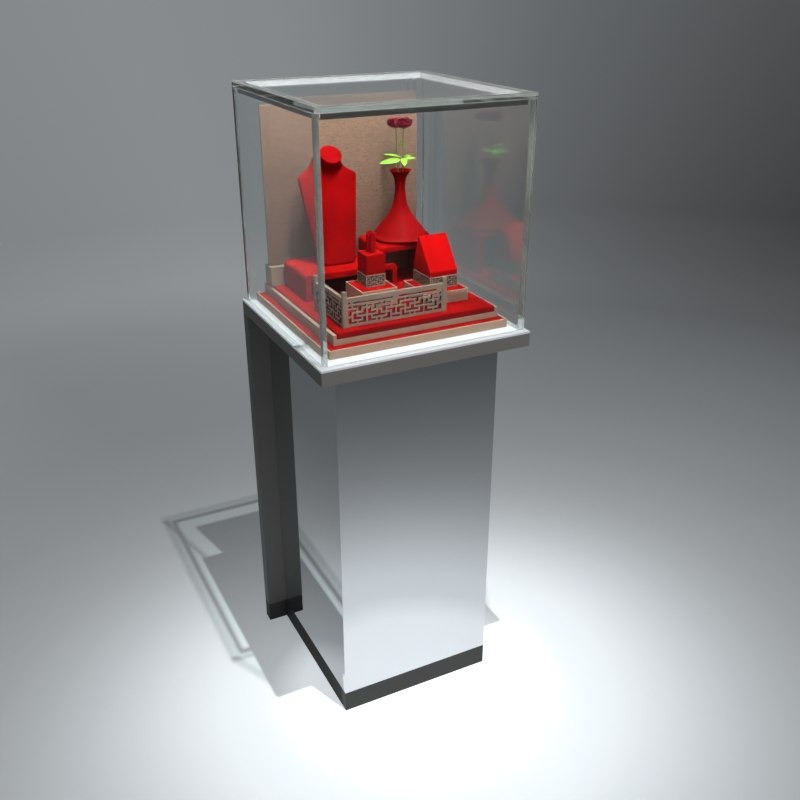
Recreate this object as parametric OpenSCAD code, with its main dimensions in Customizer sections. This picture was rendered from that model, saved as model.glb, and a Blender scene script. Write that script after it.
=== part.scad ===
// Jewelry display counter: a mirror-clad column under a square counter top,
// a lift-off glass hood with a lit sheet below and a light ring above,
// and a two-tier platform that carries the display stands.
// Origin: centre of the counter on the floor. +Z up, -Y is the customer's side.

/* [Counter top] */
// Width and depth of the counter top
counter_w = 500; // [470:5:600]
// Thickness of the dark slab
slab_t = 30; // [25:1:50]
// Height of the slab's top above the floor
slab_top_h = 950; // [850:10:1050]
// Thickness of the opal light sheet on the slab
sheet_t = 5; // [3:0.5:8]
// Depth of the recess for the light boards
recess_depth = 14; // [8:1:18]
// Width of the solid border round the recess
recess_border = 22; // [18:1:40]

/* [Pedestal] */
// Width of the mirror-clad column
column_w = 400; // [380:5:440]
// Setback of the column's front behind the counter top's edge
column_setback = 50; // [40:5:90]
// Height of the plinth
plinth_h = 55; // [45:1:90]
// Thickness of the plinth panels
plinth_t = 22; // [18:1:30]
// Thickness of the full-width back panel
back_t = 30; // [28:1:40]
// Thickness of the column's boards
board_t = 15; // [12:1:20]
// Thickness of the mirror-polished sheet on the boards
skin_t = 1.2; // [0.8:0.1:2]
// Thickness of the compartment's floor board
deck_t = 15; // [12:1:20]

/* [Service door] */
// Width of the door opening in the back panel
opening_w = 320; // [280:5:330]
// Distance of the opening's upper edge below the slab
opening_top_gap = 70; // [50:5:140]
// Height of the opening's lower edge above the floor
opening_z = 150; // [140:5:180]
// Gap round the door
door_gap = 3; // [2.6:0.1:4]
// Thickness of the door
door_t = 18; // [16:1:22]
// Depth of the door's face behind the back panel's face
door_recess = 4; // [3.6:0.1:5]
// Outer radius of the hinge knuckles
knuckle_r = 3.2; // [2.8:0.1:3.4]
// Radius of the hinge pins
hinge_pin_r = 1.5; // [1.2:0.1:1.7]
// Thickness of the hinge leaves
leaf_t = 1.2; // [0.8:0.1:1.2]
// Length of one hinge
hinge_len = 60; // [48:3:90]
// Distance of each hinge from the opening's end
hinge_inset = 80; // [60:5:150]
// Radius of the lock's barrel
barrel_r = 9; // [8:0.5:10]
// Radius of the lock's turning plug
plug_r = 6; // [5:0.5:6.5]
// Distance of the lock from the door's free edge
lock_inset = 22; // [18:1:26]
// Length of the lock's cam
cam_len = 36; // [32:1:40]

/* [Power inlet] */
// Width of the inlet's body
inlet_w = 58; // [54:1:70]
// Height of the inlet's body
inlet_h = 27; // [26:1:32]
// Distance of the inlet's centre from the counter's middle
inlet_x = 110; // [60:5:140]
// Height of the inlet's centre above the floor
inlet_z = 104; // [100:1:112]
// Length of the switch rocker
rocker_len = 18.6; // [16:0.2:19]
// Width of the switch rocker
rocker_w = 13; // [10:0.5:14]

/* [Levelling feet] */
// Radius of a foot's pad
foot_pad_r = 18; // [14:1:22]
// Radius of a foot's threaded stud
stud_r = 5; // [4:0.5:6]
// Distance of a foot's centre from the inner faces of the plinth
foot_inset = 34; // [30:1:50]

/* [Glass hood] */
// Width and depth of the glass hood
hood_w = 480; // [474:1:490]
// Height of the glass hood
hood_h = 505; // [470:5:560]
// Thickness of the glass
glass_t = 12; // [8:1:12]
// Width of a light profile
light_w = 8; // [7:0.5:12]
// Height of a light profile
light_h = 12; // [10:0.5:16]
// Thickness of the light ring's opal covers
cover_t = 2; // [1.5:0.5:3]
// Gap between the glass and the light ring
light_gap = 4; // [3:0.5:6]

/* [Platform] */
// Width of the lower tray
tier1_w = 430; // [424:1:436]
// Depth of the lower tray
tier1_d = 425; // [420:1:428]
// Height of the lower tray
tier1_h = 19; // [16:1:24]
// Width of the lower tray's rim
rim_t = 4; // [3:0.5:6]
// Drop of the lower pad below the rim
pad_drop = 1; // [0.5:0.5:2]
// Thickness of the lower pad
pad1_t = 7; // [5:0.5:9]
// Width and depth of the upper tray
tier2_w = 400; // [390:1:404]
// Thickness of the upper tray's board
tier2_board_t = 12; // [10:1:14]
// Height of the upper tray's side walls
side_wall_h = 22; // [16:1:23]
// Thickness of the upper tray's side walls
side_wall_t = 8; // [7:0.5:11]
// Height of the upper pad's top above the lower tray's top
pad2_top = 27; // [24:1:32]
// Sideways shift of both trays from the counter's middle
platform_x = 3; // [-4:1:4]
// Gap between a tray's rear edge and the back glass
rear_gap = 2; // [1:0.5:4]

/* [Fence] */
// Height of the fence posts
post_h = 78; // [70:1:90]
// Width of a post
post_w = 9.5; // [9:0.5:13]
// Height of the fretwork panels
panel_h = 64; // [60:1:68]
// Thickness of the fretwork panels
panel_t = 7; // [5:1:9]
// Length of the front panel between its posts
front_panel_len = 227.5; // [180:0.5:230]
// Length of the side panel between its posts
side_panel_len = 118; // [90:1:130]
// Width of the fretwork's bars
fret_bar = 4.2; // [3:0.1:4.8]
// Distance from the platform's left edge to the fence
fence_inset = 31; // [24:1:34]
// Distance from the platform's front edge to the fence
fence_front_inset = 17.5; // [5:0.5:20]

/* [Stands] */
// Width of the left riser
riser_left_w = 170; // [150:2:174]
// Depth of the left riser
riser_left_d = 137; // [110:1:140]
// Height of the left riser
riser_left_h = 62; // [50:1:80]
// Width of the back riser
riser_back_w = 148; // [140:2:160]
// Depth of the back riser
riser_back_d = 126; // [110:2:126]
// Height of the back riser
riser_back_h = 98; // [80:1:110]
// Width of the bracelet hoop
hoop_w = 46; // [40:1:60]
// Height of the bracelet hoop
hoop_h = 61; // [40:1:70]
// Depth of the bracelet hoop
hoop_d = 12; // [8:1:14]
// Thickness of the risers' walls
riser_wall = 12; // [8:1:14]
// Outer rounding of the risers
riser_round = 10; // [6:1:12]
// Height of the left tile
tile_left_h = 39; // [24:1:46]
// Height of the right tile
tile_right_h = 27; // [20:1:36]
// Width of the low tiles' rim
tile_rim = 2.5; // [2:0.5:4]
// Width of the left tile
tile_left_w = 87; // [80:1:92]
// Depth of the left tile
tile_left_d = 90; // [80:1:92]
// Width of the right tile
tile_right_w = 106; // [100:1:112]
// Depth of the right tile
tile_right_d = 114; // [104:1:118]
// Height of the fretwork bases
fret_base_h = 27; // [18:1:30]
// Width of the ring stand's block
ring_block_w = 45; // [36:1:50]
// Depth of the ring stand's block
ring_block_d = 47; // [40:1:54]
// Height of the ring stand's block
ring_block_h = 46; // [36:1:60]
// Height of the ring clip
clip_h = 44; // [30:1:50]
// Width of the slanted stand
slant_w = 70; // [60:1:72]
// Depth of the slanted stand
slant_d = 78; // [70:1:84]
// Height of the slanted stand
slant_h = 82; // [60:1:90]
// Height of the slanted stand's front lip
slant_lip_h = 12; // [8:1:16]

/* [Backdrop] */
// Width of the backdrop's base block
backdrop_base_w = 385; // [360:5:400]
// Depth of the base block
backdrop_base_d = 40; // [36:1:40]
// Height of the base block
backdrop_base_h = 45; // [36:1:60]
// Distance of the base block from the platform's rear edge
backdrop_rear_gap = 14; // [10:1:20]
// Distance of the board's ends from the ends of its base block
backdrop_inset = 2; // [1:0.5:12]
// Height of the board's top above the upper pad
backdrop_h = 410; // [380:5:430]
// Thickness of the board
backdrop_t = 6; // [4:0.5:8]

/* [Bust and vase] */
// Width of the bust at its foot
bust_foot_w = 82; // [70:1:90]
// Width of the bust at its shoulders
bust_shoulder_w = 134; // [120:1:144]
// Height from the foot to the shoulders
bust_shoulder_h = 200; // [180:2:210]
// Thickness of the bust
bust_t = 26; // [22:1:30]
// Backward lean of the bust at its shoulders
bust_lean = 42; // [20:1:46]
// Radius of the neck
neck_r = 26; // [22:1:28]
// Height of the neck's top above the foot
neck_top_h = 245; // [235:1:255]
// Length of the neck
neck_len = 62; // [52:1:70]
// Forward tilt of the neck in degrees
neck_tilt = 40; // [25:1:45]
// Radius of the vase's lower rim
vase_r = 70; // [60:1:72]
// Height of the vase
vase_h = 160; // [140:2:180]
// Inner radius of the vase's neck
vase_neck_r = 8.8; // [8:0.2:12]
// Thickness of the vase's wall
vase_wall = 3; // [2:0.5:4]
// Radius of a rose bloom
bloom_r = 21; // [16:1:22]
// Height of the blooms' centres above the vase's mouth
bloom_rise = 106; // [80:2:110]

/* [Hidden] */

$fn = 64;
over = 1;
running = 0.05;
fit_gap = 0.3;
bond_gap = 0.4;

bronze = [0.28, 0.27, 0.26];
mirror_steel = [0.72, 0.74, 0.76];
beige = [0.70, 0.60, 0.48];
red = [0.75, 0.05, 0.06];
glass_tint = [0.75, 0.88, 0.84, 0.35];
zinc = [0.62, 0.63, 0.65];

half_w = counter_w / 2;
slab_z = slab_top_h - slab_t;
sheet_top = slab_top_h + sheet_t;
column_x = column_w / 2;
column_front = -half_w + column_setback;
back_front = half_w - back_t;
board_x = column_x - skin_t - board_t;
board_front = column_front + skin_t + board_t;
wire_hole_r = 8;
wire_hole_setback = 60;
driver_setback = 90;
recess_half = half_w - recess_border;

opening_x = opening_w / 2;
opening_h = slab_z - opening_z - opening_top_gap;
door_x = opening_x - door_gap;
door_face = half_w - door_recess;
door_back = door_face - door_t;
door_low = opening_z + door_gap;
door_high = opening_z + opening_h - door_gap;
hinge_x = -opening_x + door_gap / 2;
hinge_y = door_face;
knuckle_room = knuckle_r + fit_gap;
frame_leaf_x = -opening_x;
door_leaf_x = -door_x - leaf_t;
hinge_zs = [opening_z + hinge_inset, opening_z + opening_h - hinge_inset - hinge_len];
lock_x = door_x - lock_inset;
lock_z = opening_z + opening_h / 2;
lock_flange_t = 2;
cam_t = 2.5;
cam_half_w = 6;
barrel_back = back_front + fit_gap;
cam_back = barrel_back - fit_gap - fit_gap - cam_t;

inlet_flange = 4;
inlet_flange_t = 2;
inlet_depth = 46;
socket_w = 25;
socket_h = 17;
socket_depth = 18;
socket_pin_t = 2;
socket_pin_h = 5;
socket_pin_len = 12;
socket_x = inlet_x - inlet_w / 2 + 4 + socket_w / 2;
rocker_room_w = rocker_w + 1;
rocker_x = inlet_x + inlet_w / 2 - 4 - rocker_room_w / 2;
rocker_room_h = rocker_len + 2.2;
rocker_t = 6;
rocker_tilt = 8;
rocker_y = half_w - 5;
rocker_room_depth = 10;
trunnion_r = 1;
trunnion_len = 2;

foot_pad_h = 8;
foot_plate_t = 4;
foot_plate_w = 2 * foot_inset - 6;
foot_x = column_x - plinth_t - foot_inset;
foot_front_y = column_front + plinth_t + foot_inset;
foot_rear_y = back_front - foot_inset;
stud_room_r = stud_r + 1.5;
deck_z = plinth_h;

hood_half = hood_w / 2;
hood_inner = hood_half - glass_t;
hood_top = sheet_top + hood_h;
glass_under = hood_top - glass_t;
wall_top = glass_under - bond_gap;
light_half = hood_inner - light_gap;
light_top = wall_top;
light_z = light_top - light_h;
light_wall = 1.2;
channel_w = light_w - cover_t;
strip_w = 8;
strip_t = 1;
strip_y = hood_inner - bond_gap - strip_t;
strip_inset = 22;
strip_pitch = 16;
strip_xs = [hood_inner - strip_inset - strip_pitch, hood_inner - strip_inset];
contact_r = 1.6;
contact_y = hood_inner - contact_r - fit_gap;

tier1_rear = hood_inner - rear_gap;
tier1_front = tier1_rear - tier1_d;
tier1_x0 = platform_x - tier1_w / 2;
tier1_top = sheet_top + tier1_h;
pad1_top = tier1_top - pad_drop;
tier2_x0 = platform_x + 5 - tier2_w / 2;
tier2_x1 = tier2_x0 + tier2_w;
tier2_rear = tier1_rear;
tier2_front = tier2_rear - tier2_w;
pad2_z = tier1_top + tier2_board_t;
top_z = tier1_top + pad2_top;

post_x = tier2_x0 + fence_inset + post_w / 2;
post_y = tier2_front + fence_front_inset + post_w / 2;
post_right_x = post_x + post_w + front_panel_len;
post_rear_y = post_y + post_w + side_panel_len;
fence_rail_h = 10;
fence_slot_h = 3.8;
fence_bar_h = 4.5;
fence_foot_h = 6.5;
fence_stile = 3;
fence_block_w = 15;
fence_slot_inset = 12;
fence_hole_w = 4.3;

// The fretwork's strokes on a grid, from a panel's end to its middle: upright bars,
// then level ones. A long panel repeats them, turned round, in its other half.
FRET_ROWS = 5;
FRET_COLUMNS = 10;
FRET_STROKES = [
    [[1, 4], [1, 5]], [[1, 1], [1, 3]], [[2, 2], [2, 4]], [[2, 0], [2, 1]], [[3, 3], [3, 4]],
    [[3, 1], [3, 2]], [[4, 0], [4, 5]], [[5, 3], [5, 4]], [[5, 1], [5, 2]], [[6, 2], [6, 4]],
    [[6, 0], [6, 1]], [[7, 4], [7, 5]], [[7, 2], [7, 3]], [[7, 0], [7, 1]], [[8, 4], [8, 5]],
    [[8, 1], [8, 3]], [[9, 3], [9, 4]], [[9, 0], [9, 2]], [[10, 1], [10, 3]],
    [[0, 4], [2, 4]], [[3, 4], [5, 4]], [[6, 4], [9, 4]],
    [[1, 3], [3, 3]], [[5, 3], [7, 3]], [[8, 3], [10, 3]],
    [[0, 2], [1, 2]], [[2, 2], [6, 2]], [[7, 2], [9, 2]],
    [[1, 1], [3, 1]], [[5, 1], [8, 1]], [[9, 1], [10, 1]]];

riser_left_inset = 32;
riser_left_x = tier2_x0 + riser_left_inset;
riser_left_y = 28;
riser_back_x = 24;
riser_back_y = 44;
bracelet_x = 12;
bracelet_y = riser_left_y;
riser_inner_round = 3;

tile_left_x = -76;
tile_left_y = -67;
tile_right_x = 61;
tile_right_y = -112;
tile_pad_t = 4;
tile_left_top = top_z + tile_left_h;
tile_right_top = top_z + tile_right_h;

fret_panel_t = 1.8;
fret_frame = 2.4;
fret_base_bar = 1.5;
ring_x = -53;
ring_y = -40;
ring_base_top = tile_left_top + fret_base_h;
ring_base_edge = 1;
clip_r = 11;
clip_wall = 4;
clip_slot = 7;
slant_x = 84;
slant_y = -83;
slant_base_edge = 1;
slant_ridge = 24;
notch_w = 1.5;
notch_depth = 5;

backdrop_base_x = platform_x - 1 - backdrop_base_w / 2;
backdrop_base_y = tier2_rear - backdrop_rear_gap - backdrop_base_d;
backdrop_w = backdrop_base_w - 2 * backdrop_inset;
backdrop_x = backdrop_base_x + backdrop_inset;
backdrop_y = backdrop_base_y + (backdrop_base_d - backdrop_t) / 2;
backdrop_slot = 30;

bust_x = -64;
bust_y = 73;
bust_z = top_z + riser_left_h;
bust_round = 9;
bust_plate = 0.5;
neck_top_y = 115;
neck_top_z = bust_z + neck_top_h;
vase_x = 106;
vase_y = 108;
vase_z = top_z + riser_back_h;
vase_top = vase_z + vase_h;
vase_floor = 6;
vase_overhang = 11;
vase_lip_r = 26;
bloom_a = [108, 95, vase_top + bloom_rise + 3];
bloom_b = [110, 137, vase_top + bloom_rise - 3];
stem_r = 1.4;
stem_low = vase_z + vase_floor;
stem_bend = vase_z + vase_h * 0.39;

module box_between(low, high) {
    translate(low) cube(high - low);
}

// A cylinder along +Y from y0 to y1.
module rod_y(r, x, z, y0, y1) {
    translate([x, y0, z]) rotate([-90, 0, 0]) cylinder(r = r, h = y1 - y0);
}

// A cylinder from one point to another.
module rod(r, from, to) {
    step = to - from;
    turn = atan2(step[1], step[0]);
    tilt = acos(step[2] / norm(step));
    translate(from) rotate([0, tilt, turn]) cylinder(r = r, h = norm(step));
}

// A rectangle with round upper corners, its lower left corner at the origin.
module arch_face(w, h, r) {
    square([w, h - r]);
    translate([r, h - r]) circle(r);
    translate([w - r, h - r]) circle(r);
    translate([r, h - r]) square([w - 2 * r, r]);
}

// An inverted U of bent board, open to the front and the back.
module bent_riser(w, d, h, wall, r) {
    translate([0, d, 0]) rotate([90, 0, 0]) linear_extrude(d) difference() {
        arch_face(w, h, r);
        translate([wall, -over]) arch_face(w - 2 * wall, h - wall + over, riser_inner_round);
    }
}

// Interlocking fretwork that fills an opening of w by h, in one or two halves. The outer
// grid lines run half a bar inside the frame, so that all the gaps come out alike.
module fretwork(w, h, bar, halves) {
    step = (w + bar) / FRET_COLUMNS / halves;
    row = (h + bar) / FRET_ROWS;
    intersection() {
        square([w, h]);
        for (half = [0:halves - 1], stroke = FRET_STROKES) {
            low = half == 0 ? stroke[0][0] : 2 * FRET_COLUMNS - stroke[1][0];
            columns = stroke[1][0] - stroke[0][0];
            rows = stroke[1][1] - stroke[0][1];
            translate([low * step - bar, stroke[0][1] * row - bar])
                square([columns * step + bar, rows * row + bar]);
        }
    }
}

// One fence panel seen from its front: rail, a hole and two slots, a thin bar, fretwork
// and foot.
module fence_face(w, halves) {
    field_h = panel_h - fence_rail_h - fence_slot_h - fence_bar_h - fence_foot_h;
    slot_z = panel_h - fence_rail_h - fence_slot_h;
    slot_w = (w - fence_block_w) / 2 - fence_stile - fence_slot_inset;
    difference() {
        square([w, panel_h]);
        translate([fence_stile, fence_foot_h]) square([w - 2 * fence_stile, field_h]);
        translate([fence_stile, slot_z]) square([fence_hole_w, fence_slot_h]);
        for (x = [fence_stile + fence_slot_inset, (w + fence_block_w) / 2])
            translate([x, slot_z]) square([slot_w, fence_slot_h]);
    }
    translate([fence_stile, fence_foot_h])
        fretwork(w - 2 * fence_stile, field_h, fret_bar, halves);
}

// One side of a fretwork base: a frame round a field of fretwork.
module fret_side(w, halves) {
    field_h = fret_base_h - 2 * fret_frame;
    difference() {
        square([w, fret_base_h]);
        translate([fret_frame, fret_frame]) square([w - 2 * fret_frame, field_h]);
    }
    translate([fret_frame, fret_frame])
        fretwork(w - 2 * fret_frame, field_h, fret_base_bar, halves);
}

// A box whose four sides carry fretwork panels, its lower corner at the origin.
module fret_box(w, d, halves) {
    translate([fret_panel_t, fret_panel_t, 0])
        cube([w - 2 * fret_panel_t, d - 2 * fret_panel_t, fret_base_h]);
    for (y = [fret_panel_t, d])
        translate([0, y, 0]) rotate([90, 0, 0])
            linear_extrude(fret_panel_t) fret_side(w, halves);
    for (x = [0, w - fret_panel_t])
        translate([x, 0, 0]) rotate([90, 0, 90])
            linear_extrude(fret_panel_t) fret_side(d, halves);
}

// A shallow block with a recess for a pad in its top.
module rimmed_block(w, d, h, rim, recess) {
    difference() {
        cube([w, d, h]);
        translate([rim, rim, h - recess]) cube([w - 2 * rim, d - 2 * rim, recess + over]);
    }
}

module counter_top() {
    color(bronze) difference() {
        box_between([-half_w, -half_w, slab_z], [half_w, half_w, slab_top_h]);
        box_between([-recess_half, -recess_half, slab_top_h - recess_depth],
            [recess_half, recess_half, slab_top_h + over]);
        translate([0, board_front + wire_hole_setback, slab_z - over])
            cylinder(r = wire_hole_r, h = slab_t);
        for (x = strip_xs)
            translate([x, contact_y, slab_z - over])
                cylinder(r = contact_r + running, h = slab_t + 2 * over);
    }
}

module opal_sheet() {
    color("white") difference() {
        box_between([-half_w, -half_w, slab_top_h], [half_w, half_w, sheet_top]);
        for (x = strip_xs)
            translate([x, contact_y, slab_top_h - over])
                cylinder(r = contact_r + running, h = sheet_t + 2 * over);
    }
}

module led_boards() {
    count = 7;
    pitch = 2 * recess_half / count;
    board_w = 20;
    board_thick = 1.6;
    end_gap = 10;
    chip_w = 5;
    chip_h = 1;
    chips = 12;
    board_len = 2 * (recess_half - end_gap);
    chip_pitch = board_len / chips;
    color("ivory") for (i = [0:count - 1])
        translate([-recess_half + pitch * (i + 0.5), 0, slab_top_h - recess_depth]) {
            translate([-board_w / 2, -board_len / 2, 0]) cube([board_w, board_len, board_thick]);
            for (j = [0:chips - 1])
                translate([-chip_w / 2, (chip_pitch * (2 * j + 1) - board_len - chip_w) / 2,
                        board_thick])
                    cube([chip_w, chip_w, chip_h]);
        }
}

module contact_pins() {
    color("gold") for (x = strip_xs)
        translate([x, contact_y, slab_z]) cylinder(r = contact_r, h = sheet_top - slab_z);
}

module back_panel() {
    color(bronze) difference() {
        box_between([-half_w, back_front, plinth_h], [half_w, half_w, slab_z]);
        box_between([-opening_x, back_front - over, opening_z],
            [opening_x, half_w + over, opening_z + opening_h]);
        for (z = hinge_zs)
            translate([hinge_x, hinge_y, z - fit_gap])
                cylinder(r = knuckle_room, h = hinge_len + 2 * fit_gap);
        box_between([inlet_x - inlet_w / 2, back_front - over, inlet_z - inlet_h / 2],
            [inlet_x + inlet_w / 2, half_w + over, inlet_z + inlet_h / 2]);
        box_between([inlet_x - inlet_w / 2 - inlet_flange, half_w - inlet_flange_t,
                inlet_z - inlet_h / 2 - inlet_flange],
            [inlet_x + inlet_w / 2 + inlet_flange, half_w + over,
                inlet_z + inlet_h / 2 + inlet_flange]);
    }
}

module plinth_front() {
    color(bronze) box_between([-column_x, column_front, 0],
        [column_x, column_front + plinth_t, plinth_h]);
}

module plinth_sides() {
    color(bronze) for (x = [-column_x, column_x - plinth_t])
        translate([x, column_front + plinth_t, 0])
            cube([plinth_t, back_front - column_front - plinth_t, plinth_h]);
}

module plinth_rear() {
    color(bronze) box_between([-half_w, back_front, 0], [half_w, half_w, plinth_h]);
}

module base_deck() {
    color("burlywood") difference() {
        box_between([-board_x, board_front, deck_z], [board_x, back_front, deck_z + deck_t]);
        for (x = [-foot_x, foot_x], y = [foot_front_y, foot_rear_y])
            translate([x, y, deck_z - over]) cylinder(r = stud_room_r, h = deck_t + 2 * over);
    }
}

module foot_plates() {
    half = foot_plate_w / 2;
    color(zinc) for (x = [-foot_x, foot_x], y = [foot_front_y, foot_rear_y])
        translate([x, y, deck_z - foot_plate_t]) difference() {
            translate([-half, -half, 0]) cube([foot_plate_w, foot_plate_w, foot_plate_t]);
            translate([0, 0, -over]) cylinder(r = stud_r + running, h = foot_plate_t + 2 * over);
        }
}

module levelling_foot(x, y) {
    color(zinc) translate([x, y, 0]) {
        cylinder(r = foot_pad_r, h = foot_pad_h);
        cylinder(r = stud_r, h = deck_z + deck_t);
    }
}

module foot_front_left() {
    levelling_foot(-foot_x, foot_front_y);
}

module foot_front_right() {
    levelling_foot(foot_x, foot_front_y);
}

module foot_rear_left() {
    levelling_foot(-foot_x, foot_rear_y);
}

module foot_rear_right() {
    levelling_foot(foot_x, foot_rear_y);
}

module column_front_board() {
    color("burlywood") box_between([-column_x + skin_t, column_front + skin_t, plinth_h],
        [column_x - skin_t, board_front, slab_z]);
}

module column_side_boards() {
    color("burlywood") for (x = [-column_x + skin_t, board_x])
        translate([x, board_front, plinth_h])
            cube([board_t, back_front - board_front, slab_z - plinth_h]);
}

module column_skin() {
    color(mirror_steel) difference() {
        box_between([-column_x, column_front, plinth_h], [column_x, back_front, slab_z]);
        box_between([-column_x + skin_t, column_front + skin_t, plinth_h - over],
            [column_x - skin_t, back_front + over, slab_z + over]);
    }
}

module led_driver() {
    driver_w = 150;
    driver_d = 50;
    driver_h = 32;
    ear_w = 12;
    ear_t = 3;
    driver_y = board_front + driver_setback;
    color("lightgrey") difference() {
        union() {
            translate([-driver_w / 2, driver_y, slab_z - driver_h])
                cube([driver_w, driver_d, driver_h]);
            translate([-driver_w / 2 - ear_w, driver_y, slab_z - ear_t])
                cube([driver_w + 2 * ear_w, driver_d, ear_t]);
        }
        for (side = [-1, 1])
            translate([side * (driver_w + ear_w) / 2, driver_y + driver_d / 2, slab_z - ear_t - over])
                cylinder(r = 2.2, h = ear_t + 2 * over);
    }
}

module power_inlet() {
    color([0.12, 0.12, 0.13]) difference() {
        union() {
            box_between([inlet_x - inlet_w / 2, half_w - inlet_depth, inlet_z - inlet_h / 2],
                [inlet_x + inlet_w / 2, half_w, inlet_z + inlet_h / 2]);
            box_between([inlet_x - inlet_w / 2 - inlet_flange, half_w - inlet_flange_t,
                    inlet_z - inlet_h / 2 - inlet_flange],
                [inlet_x + inlet_w / 2 + inlet_flange, half_w,
                    inlet_z + inlet_h / 2 + inlet_flange]);
        }
        translate([socket_x - socket_w / 2, half_w - socket_depth, inlet_z - socket_h / 2])
            cube([socket_w, socket_depth + over, socket_h]);
        translate([rocker_x - rocker_room_w / 2, half_w - rocker_room_depth,
                inlet_z - rocker_room_h / 2])
            cube([rocker_room_w, rocker_room_depth + over, rocker_room_h]);
        translate([rocker_x - rocker_room_w / 2 - trunnion_len, rocker_y, inlet_z])
            rotate([0, 90, 0])
                cylinder(r = trunnion_r + running, h = rocker_room_w + 2 * trunnion_len);
    }
    color("silver") for (pin = [-1:1])
        translate([socket_x + pin * socket_w / 4 - socket_pin_t / 2, half_w - socket_depth,
                inlet_z + (pin == 0 ? 1 : -2) - socket_pin_h / 2])
            cube([socket_pin_t, socket_pin_len, socket_pin_h]);
}

module switch_rocker() {
    trunnion_w = rocker_room_w + 2 * trunnion_len - 2 * fit_gap;
    color([0.16, 0.16, 0.17]) translate([rocker_x, rocker_y, inlet_z]) {
        rotate([rocker_tilt, 0, 0]) translate([-rocker_w / 2, -rocker_t / 2, -rocker_len / 2])
            cube([rocker_w, rocker_t, rocker_len]);
        translate([-trunnion_w / 2, 0, 0]) rotate([0, 90, 0])
            cylinder(r = trunnion_r, h = trunnion_w);
    }
}

// One leaf of a hinge: a plate in the door gap, with knuckles at the given thirds.
module hinge_leaf(plate_x, z, thirds) {
    third = hinge_len / 3;
    reach = hinge_y - knuckle_room;
    difference() {
        union() {
            translate([plate_x, door_back, z]) cube([leaf_t, reach - door_back, hinge_len]);
            for (i = thirds)
                translate([0, 0, z + i * third + fit_gap / 2]) {
                    translate([hinge_x, hinge_y, 0]) cylinder(r = knuckle_r, h = third - fit_gap);
                    translate([plate_x, reach - over, 0])
                        cube([leaf_t, knuckle_room - hinge_pin_r, third - fit_gap]);
                }
        }
        translate([hinge_x, hinge_y, z - over])
            cylinder(r = hinge_pin_r + running, h = hinge_len + 2 * over);
    }
}

module hinge_frame_leaves() {
    color(zinc) for (z = hinge_zs) hinge_leaf(frame_leaf_x, z, [1]);
}

module hinge_door_leaves() {
    color(zinc) for (z = hinge_zs) hinge_leaf(door_leaf_x, z, [0, 2]);
}

module hinge_pins() {
    color(zinc) for (z = hinge_zs)
        translate([hinge_x, hinge_y, z]) cylinder(r = hinge_pin_r, h = hinge_len);
}

module service_door() {
    color(bronze) difference() {
        box_between([-door_x, door_back, door_low], [door_x, door_face, door_high]);
        for (z = hinge_zs)
            translate([hinge_x, hinge_y, z - fit_gap])
                cylinder(r = knuckle_room, h = hinge_len + 2 * fit_gap);
        rod_y(barrel_r + running, lock_x, lock_z, door_back - over, door_face + over);
    }
}

module lock_body() {
    color("silver") difference() {
        union() {
            rod_y(barrel_r, lock_x, lock_z, barrel_back, door_face);
            rod_y(barrel_r + 2, lock_x, lock_z, door_face, door_face + lock_flange_t);
        }
        rod_y(plug_r + running, lock_x, lock_z, barrel_back - over,
            door_face + lock_flange_t + over);
    }
}

module lock_plug() {
    plug_face = door_face + lock_flange_t - 0.5;
    key_w = 1.6;
    key_h = 7;
    color("silver") difference() {
        union() {
            rod_y(plug_r, lock_x, lock_z, cam_back + cam_t, plug_face);
            rod_y(cam_half_w, lock_x, lock_z, cam_back, cam_back + cam_t);
            translate([lock_x - cam_half_w, cam_back, lock_z - cam_len])
                cube([2 * cam_half_w, cam_t, cam_len]);
        }
        translate([lock_x - key_w / 2, plug_face - 6, lock_z - key_h / 2])
            cube([key_w, 6 + over, key_h]);
    }
}

module tier1_tray() {
    recess = pad_drop + pad1_t;
    color(beige) translate([tier1_x0, tier1_front, sheet_top])
        rimmed_block(tier1_w, tier1_d, tier1_h, rim_t, recess);
}

module tier1_pad() {
    inset = rim_t + fit_gap;
    pad_z = pad1_top - pad1_t;
    color(red) translate([tier1_x0 + inset, tier1_front + inset, pad_z])
        cube([tier1_w - 2 * inset, tier1_d - 2 * inset, pad1_t]);
}

module tier2_tray() {
    color(beige) {
        box_between([tier2_x0, tier2_front, pad1_top],
            [tier2_x1, tier2_rear - rim_t - fit_gap, pad2_z]);
        for (x = [tier2_x0, tier2_x1 - side_wall_t])
            translate([x, tier2_front, pad1_top])
                cube([side_wall_t, tier2_w - rim_t - fit_gap, tier1_top - pad1_top + side_wall_h]);
    }
}

module tier2_pad() {
    inset = side_wall_t + fit_gap;
    color(red) box_between([tier2_x0 + inset, tier2_front, pad2_z],
        [tier2_x1 - inset, tier2_rear - rim_t - fit_gap, top_z]);
}

module backdrop_base() {
    color([0.50, 0.43, 0.35]) difference() {
        translate([backdrop_base_x, backdrop_base_y, top_z])
            cube([backdrop_base_w, backdrop_base_d, backdrop_base_h]);
        translate([backdrop_x - fit_gap, backdrop_y - fit_gap, top_z + backdrop_base_h - backdrop_slot])
            cube([backdrop_w + 2 * fit_gap, backdrop_t + 2 * fit_gap, backdrop_slot + over]);
    }
}

module backdrop_board() {
    color(beige) translate([backdrop_x, backdrop_y, top_z + backdrop_base_h - backdrop_slot])
        cube([backdrop_w, backdrop_t, backdrop_h - backdrop_base_h + backdrop_slot]);
}

module riser_left() {
    color(red) translate([riser_left_x, riser_left_y, top_z])
        bent_riser(riser_left_w, riser_left_d, riser_left_h, riser_wall + 2, riser_round);
}

module riser_back() {
    color(red) translate([riser_back_x, riser_back_y, top_z])
        bent_riser(riser_back_w, riser_back_d, riser_back_h, riser_wall, riser_round);
}

module bracelet_hoop() {
    color(red) translate([bracelet_x, bracelet_y, top_z])
        bent_riser(hoop_w, hoop_d, hoop_h, riser_wall, riser_round);
}

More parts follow.
